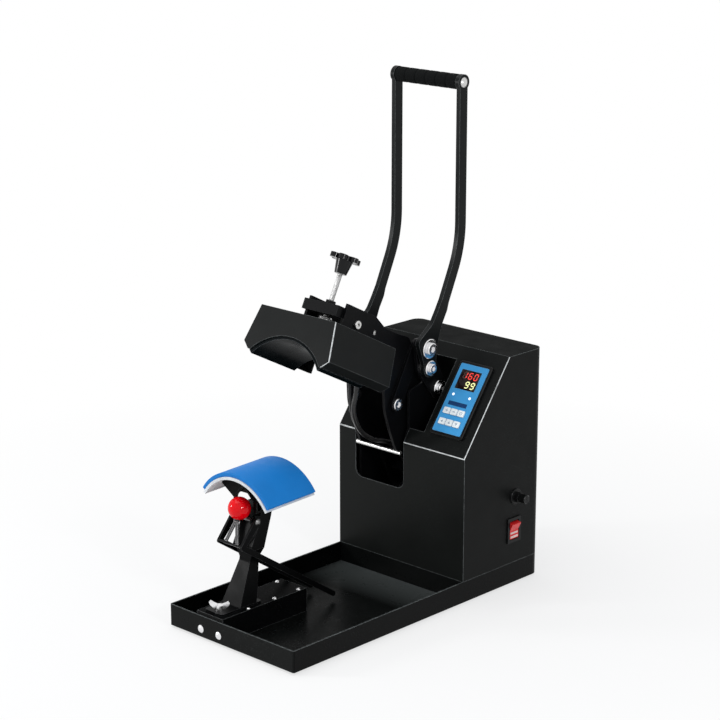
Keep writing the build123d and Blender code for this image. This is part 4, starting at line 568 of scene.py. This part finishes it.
head_faces = ((-1, 0, 0), (0, 1, 0))
house_faces = ((0, cos(INCLINE), sin(INCLINE)), (0, 0, -1))
head_corner = (HEAD_WIDE_HALF, 0, 0)
fold("head_front_fold", HEAD, (HEAD_TOP_HALF, 0, HEAD_HIGH), head_corner, head_faces, 1.3, "head")
fold("head_lower_fold", HEAD, head_corner, (HEAD_LOW_HALF, 0, HEAD_LOW), head_faces, 1.0, "head")
fold("incline_low_right", HOUSING, (SLOT_RIGHT, FOLD_BEHIND, FOLD_UP), (BASE_HALF, FOLD_BEHIND, FOLD_UP),
     house_faces, 0.9, "base")
fold("incline_low_left", HOUSING, (-BASE_HALF, FOLD_BEHIND, FOLD_UP), (SLOT_LEFT, FOLD_BEHIND, FOLD_UP),
     house_faces, 1.2, "base")
fold("incline_right", PANEL, (BASE_HALF, 0.5, 0), (BASE_HALF, INCLINE_LENGTH, 0), ((-1, 0, 0),), 1.9, "base")

# the display's digits, in the panel's frame: across, up the incline, and out of it
SEGMENTS = {"0": "abcdef", "1": "bc", "6": "acdefg", "9": "abcdfg"}
DIGIT_WIDE, DIGIT_HIGH, DIGIT_THICK = 8.4, 12.4, 1.9
DIGIT_PITCH = 11.4
DIGIT_LEAN = 0.10
SEGMENT_GAP = 0.25
SEGMENT_LEVELS = (6.15, 6.30)
digit_red = lit("digit_red", (0.82, 0.045, 0.035), 0.62)
digit_green = lit("digit_yellow_green", (0.78, 0.80, 0.36), 0.75)
# the unlit bars glow faintly too: a painted glow
digit_dim = lit("digit_unlit", (0.055, 0.020, 0.014), 0.25)


def segment_outline(key, x, up):
    """One bar of a digit, pointed at its ends and leaning to the right."""
    half = DIGIT_THICK / 2
    middle, top_line = up + DIGIT_HIGH / 2, up + DIGIT_HIGH - half
    left_line, right_line = x + half, x + DIGIT_WIDE - half
    level = {"a": top_line, "g": middle, "d": up + half}
    side = {"b": (right_line, middle, top_line), "c": (right_line, up + half, middle),
            "f": (left_line, middle, top_line), "e": (left_line, up + half, middle)}
    if key in level:
        y = level[key]
        low, top = left_line + SEGMENT_GAP, right_line - SEGMENT_GAP
        spots = [(low, y), (low + half, y - half), (top - half, y - half), (top, y), (top - half, y + half),
                 (low + half, y + half)]
    else:
        line, low, top = side[key]
        low, top = low + SEGMENT_GAP, top - SEGMENT_GAP
        spots = [(line, low), (line + half, low + half), (line + half, top - half), (line, top),
                 (line - half, top - half), (line - half, low + half)]
    return [(a + DIGIT_LEAN * (b - up), b) for a, b in spots]


def digit_row(name, text, x, up, colour):
    """A row of seven-bar digits: the lit bars and the dim ones are two pieces."""
    lit_bars, dim_bars = [], []
    for position, letter in enumerate(text):
        for key in "abcdefg":
            bars = lit_bars if key in SEGMENTS[letter] else dim_bars
            bars.append((segment_outline(key, x + DIGIT_PITCH * position, up), *SEGMENT_LEVELS))
    for suffix, bars, material in (("lit", lit_bars, colour), ("dim", dim_bars, digit_dim)):
        points, faces = prisms(bars)
        piece(f"{name}_{suffix}", PANEL, points, faces, material, "base")


digit_row("upper_digits", "160", 69.5, 130.0, digit_red)
digit_row("lower_digits", "99", 80.9, 114.0, digit_green)

# indicator lamps, the dark strip over the keys, and the signs on the keys
LAMP_SPOTS = ((67.0, 100.0), (102.5, 99.0))
LAMP_RADIUS, LAMP_RISE, FACE_UP = 2.3, 1.3, 6.0
STRIP_LEVELS = (5.95, 6.12)
SIGN_LEVELS = (7.38, 7.48)
lamp_white = lit("indicator_white", (0.88, 0.94, 1.0), 0.9)
for index, (x, up) in enumerate(LAMP_SPOTS):
    angles = [radians(angle) for angle in (0, 18, 36, 54, 72, 86)]
    points, faces = lathe([(LAMP_RADIUS * cos(a), FACE_UP + LAMP_RISE * sin(a)) for a in angles], 24)
    spot = PANEL @ Matrix.Translation(Vector((x, up, 0)) * MM)
    piece(f"indicator_{index + 1}", spot, points, faces, lamp_white, "base", smooth=True)
strip_blue = plastic("strip_dark_blue", (0.014, 0.050, 0.15), 0.25, 900.0, 0.00001, specular=0.15)
points, faces = prisms([(box_outline(64.6, 81.0, 103.5, 88.2), *STRIP_LEVELS)])
piece("panel_strip", PANEL, points, faces, strip_blue, "base")
sign_grey = plastic("sign_grey", (0.30, 0.36, 0.45), 0.4, 900.0, 0.00001, specular=0.15)


def triangle(x, y, size, turn):
    return [(x + size * cos(radians(turn + a)), y + size * sin(radians(turn + a))) for a in (0, 120, 240)]


def ring(x, y, outer, inner, count=20):
    """Small blocks round a circle, as a printed ring."""
    blocks = []
    for k in range(count):
        a, b = 2 * pi * k / count, 2 * pi * (k + 1) / count
        corners = ((outer, a), (outer, b), (inner, b), (inner, a))
        blocks.append([(x + radius * cos(turn), y + radius * sin(turn)) for radius, turn in corners])
    return blocks


key_signs = [
    [box_outline(66.4, 69.8, 71.6, 71.2), box_outline(68.3, 67.9, 69.7, 73.1)],
    [box_outline(81.6, 69.8, 86.8, 71.2)],
    ring(99.4, 70.5, 2.7, 1.7),
    [triangle(69.0, 50.8, 2.9, 180)],
    [triangle(84.2, 50.4, 2.9, 90)],
    [triangle(99.4, 51.6, 2.9, -90)],
]
for index, shapes in enumerate(key_signs):
    points, faces = prisms([(shape, *SIGN_LEVELS) for shape in shapes])
    piece(f"key_sign_{index + 1}", PANEL, points, faces, sign_grey, f"key_{index + 1}_body")

# two pale bars on the rocker's pressed half as painted highlights, in the rocker's own frame
BAR_RANGES = ((-5.6, -2.4), (-12.4, -8.8))
BAR_HALF = 9.4
BAR_LIFTS = (0.02, 0.22)
VALLEY_OUT = 4.8
VALLEY_SLOPE = 3.2 / 13.86
stripe_pale = plastic("stripe_pale", (0.80, 0.62, 0.60), 0.35, 900.0, 0.00001, specular=0.2, highlight_gain=1.1)
for index, (low, high) in enumerate(BAR_RANGES):
    corners = box_outline(-BAR_HALF, low, BAR_HALF, high)
    points = [(VALLEY_OUT - z * VALLEY_SLOPE + lift, y, z) for lift in BAR_LIFTS for y, z in corners]
    faces = [(0, 3, 2, 1), (4, 5, 6, 7), (0, 1, 5, 4), (1, 2, 6, 5), (2, 3, 7, 6), (3, 0, 4, 7)]
    piece(f"rocker_highlight_bar_{index + 1}", ROCKER, points, faces, stripe_pale, "rocker")

# ---------------------------------------------------------------- camera, floor and light
CAMERA_PLACE = (2.32647, -2.45265, 1.36401)
CAMERA_TURN = (radians(74.26), 0.0, radians(43.49))
CAMERA_LENS = 109.54
SKY_STRENGTH = 0.50
FLOOR_HALF = 9.0
FLOOR_GREY = 0.93
FLOOR_NEAR, FLOOR_FAR = 0.45, 1.25
FLOOR_NEAR_WHITE = 0.68
WHITE = (1.0, 1.0, 1.0, 1.0)


camera = in_scene("camera", bpy.data.cameras.new("camera"))
camera.location = CAMERA_PLACE
camera.rotation_euler = CAMERA_TURN
camera.data.sensor_width = 36.0
camera.data.lens = CAMERA_LENS
camera.data.clip_end = 100.0
bpy.context.scene.camera = camera


def path_mask(tree):
    """1 for rays that should see the white backdrop: camera, glossy and transmitted."""
    path = new_node(tree, "LightPath")
    most = {"operation": "MAXIMUM"}
    seen = new_node(tree, "Math", most, in0=path.outputs["Is Camera Ray"], in1=path.outputs["Is Glossy Ray"])
    both = new_node(tree, "Math", most, in0=seen.outputs[0], in1=path.outputs["Is Transmission Ray"])
    return both.outputs[0]


def two_shaders(owner, share, first, second, output):
    """The owner's node tree with two shaders mixed by the share of the second."""
    mix = new_node(owner.node_tree, "MixShader", in0=share, in1=first.outputs[0], in2=second.outputs[0])
    owner.node_tree.links.new(mix.outputs[0], new_node(owner.node_tree, output).inputs[0])


world = bpy.data.worlds.new("studio")
world.use_nodes = True
bpy.context.scene.world = world
tree = world.node_tree
tree.nodes.clear()
soft = new_node(tree, "Background", Color=(0.93, 0.96, 1.0, 1.0), Strength=SKY_STRENGTH)
white = new_node(tree, "Background", Color=WHITE, Strength=1.0)
two_shaders(world, path_mask(tree), soft, white, "OutputWorld")

floor_mesh = bpy.data.meshes.new("floor")
floor_mesh.from_pydata([(x, y, 0) for x, y in box_outline(-FLOOR_HALF, -FLOOR_HALF, FLOOR_HALF, FLOOR_HALF)],
                       [], [(0, 1, 2, 3)])
floor = in_scene("floor", floor_mesh)
floor_mat = bpy.data.materials.new("pale_floor")
floor_mat.use_nodes = True
tree = floor_mat.node_tree
tree.nodes.clear()
ground = new_node(tree, "BsdfDiffuse", Color=(FLOOR_GREY, FLOOR_GREY, FLOOR_GREY, 1.0))
glow = new_node(tree, "Emission", Color=WHITE, Strength=1.0)
position = new_node(tree, "NewGeometry").outputs["Position"]
reach = new_node(tree, "VectorMath", {"operation": "LENGTH"}, in0=position)
whiter = new_node(tree, "MapRange", Value=reach.outputs["Value"], From_Min=FLOOR_NEAR, From_Max=FLOOR_FAR,
                  To_Min=FLOOR_NEAR_WHITE, To_Max=1.0)
share = new_node(tree, "Math", {"operation": "MULTIPLY"}, in0=path_mask(tree), in1=whiter.outputs[0])
two_shaders(floor_mat, share.outputs[0], ground, glow, "OutputMaterial")
floor_mesh.materials.append(floor_mat)


def softbox(name, where, aim_height, size, power):
    """A flat lamp that looks at a height over the origin."""
    lamp = bpy.data.lights.new(name, "AREA")
    lamp.shape = "RECTANGLE"
    lamp.size, lamp.size_y = size
    lamp.energy = power
    made = in_scene(name, lamp)
    made.location = where
    aim = Vector((0.0, 0.0, aim_height))
    made.rotation_euler = (aim - Vector(where)).to_track_quat("-Z", "Y").to_euler()


softbox("top_softbox", (-0.5, -0.3, 3.0), 0.3, (2.4, 2.4), 40.0)
softbox("left_softbox", (-1.70, -1.85, 0.95), 0.35, (0.34, 0.46), 20.0)
softbox("right_softbox", (1.95, -0.66, 1.12), 0.30, (0.20, 0.26), 8.0)

bpy.context.scene.view_settings.view_transform = "Standard"
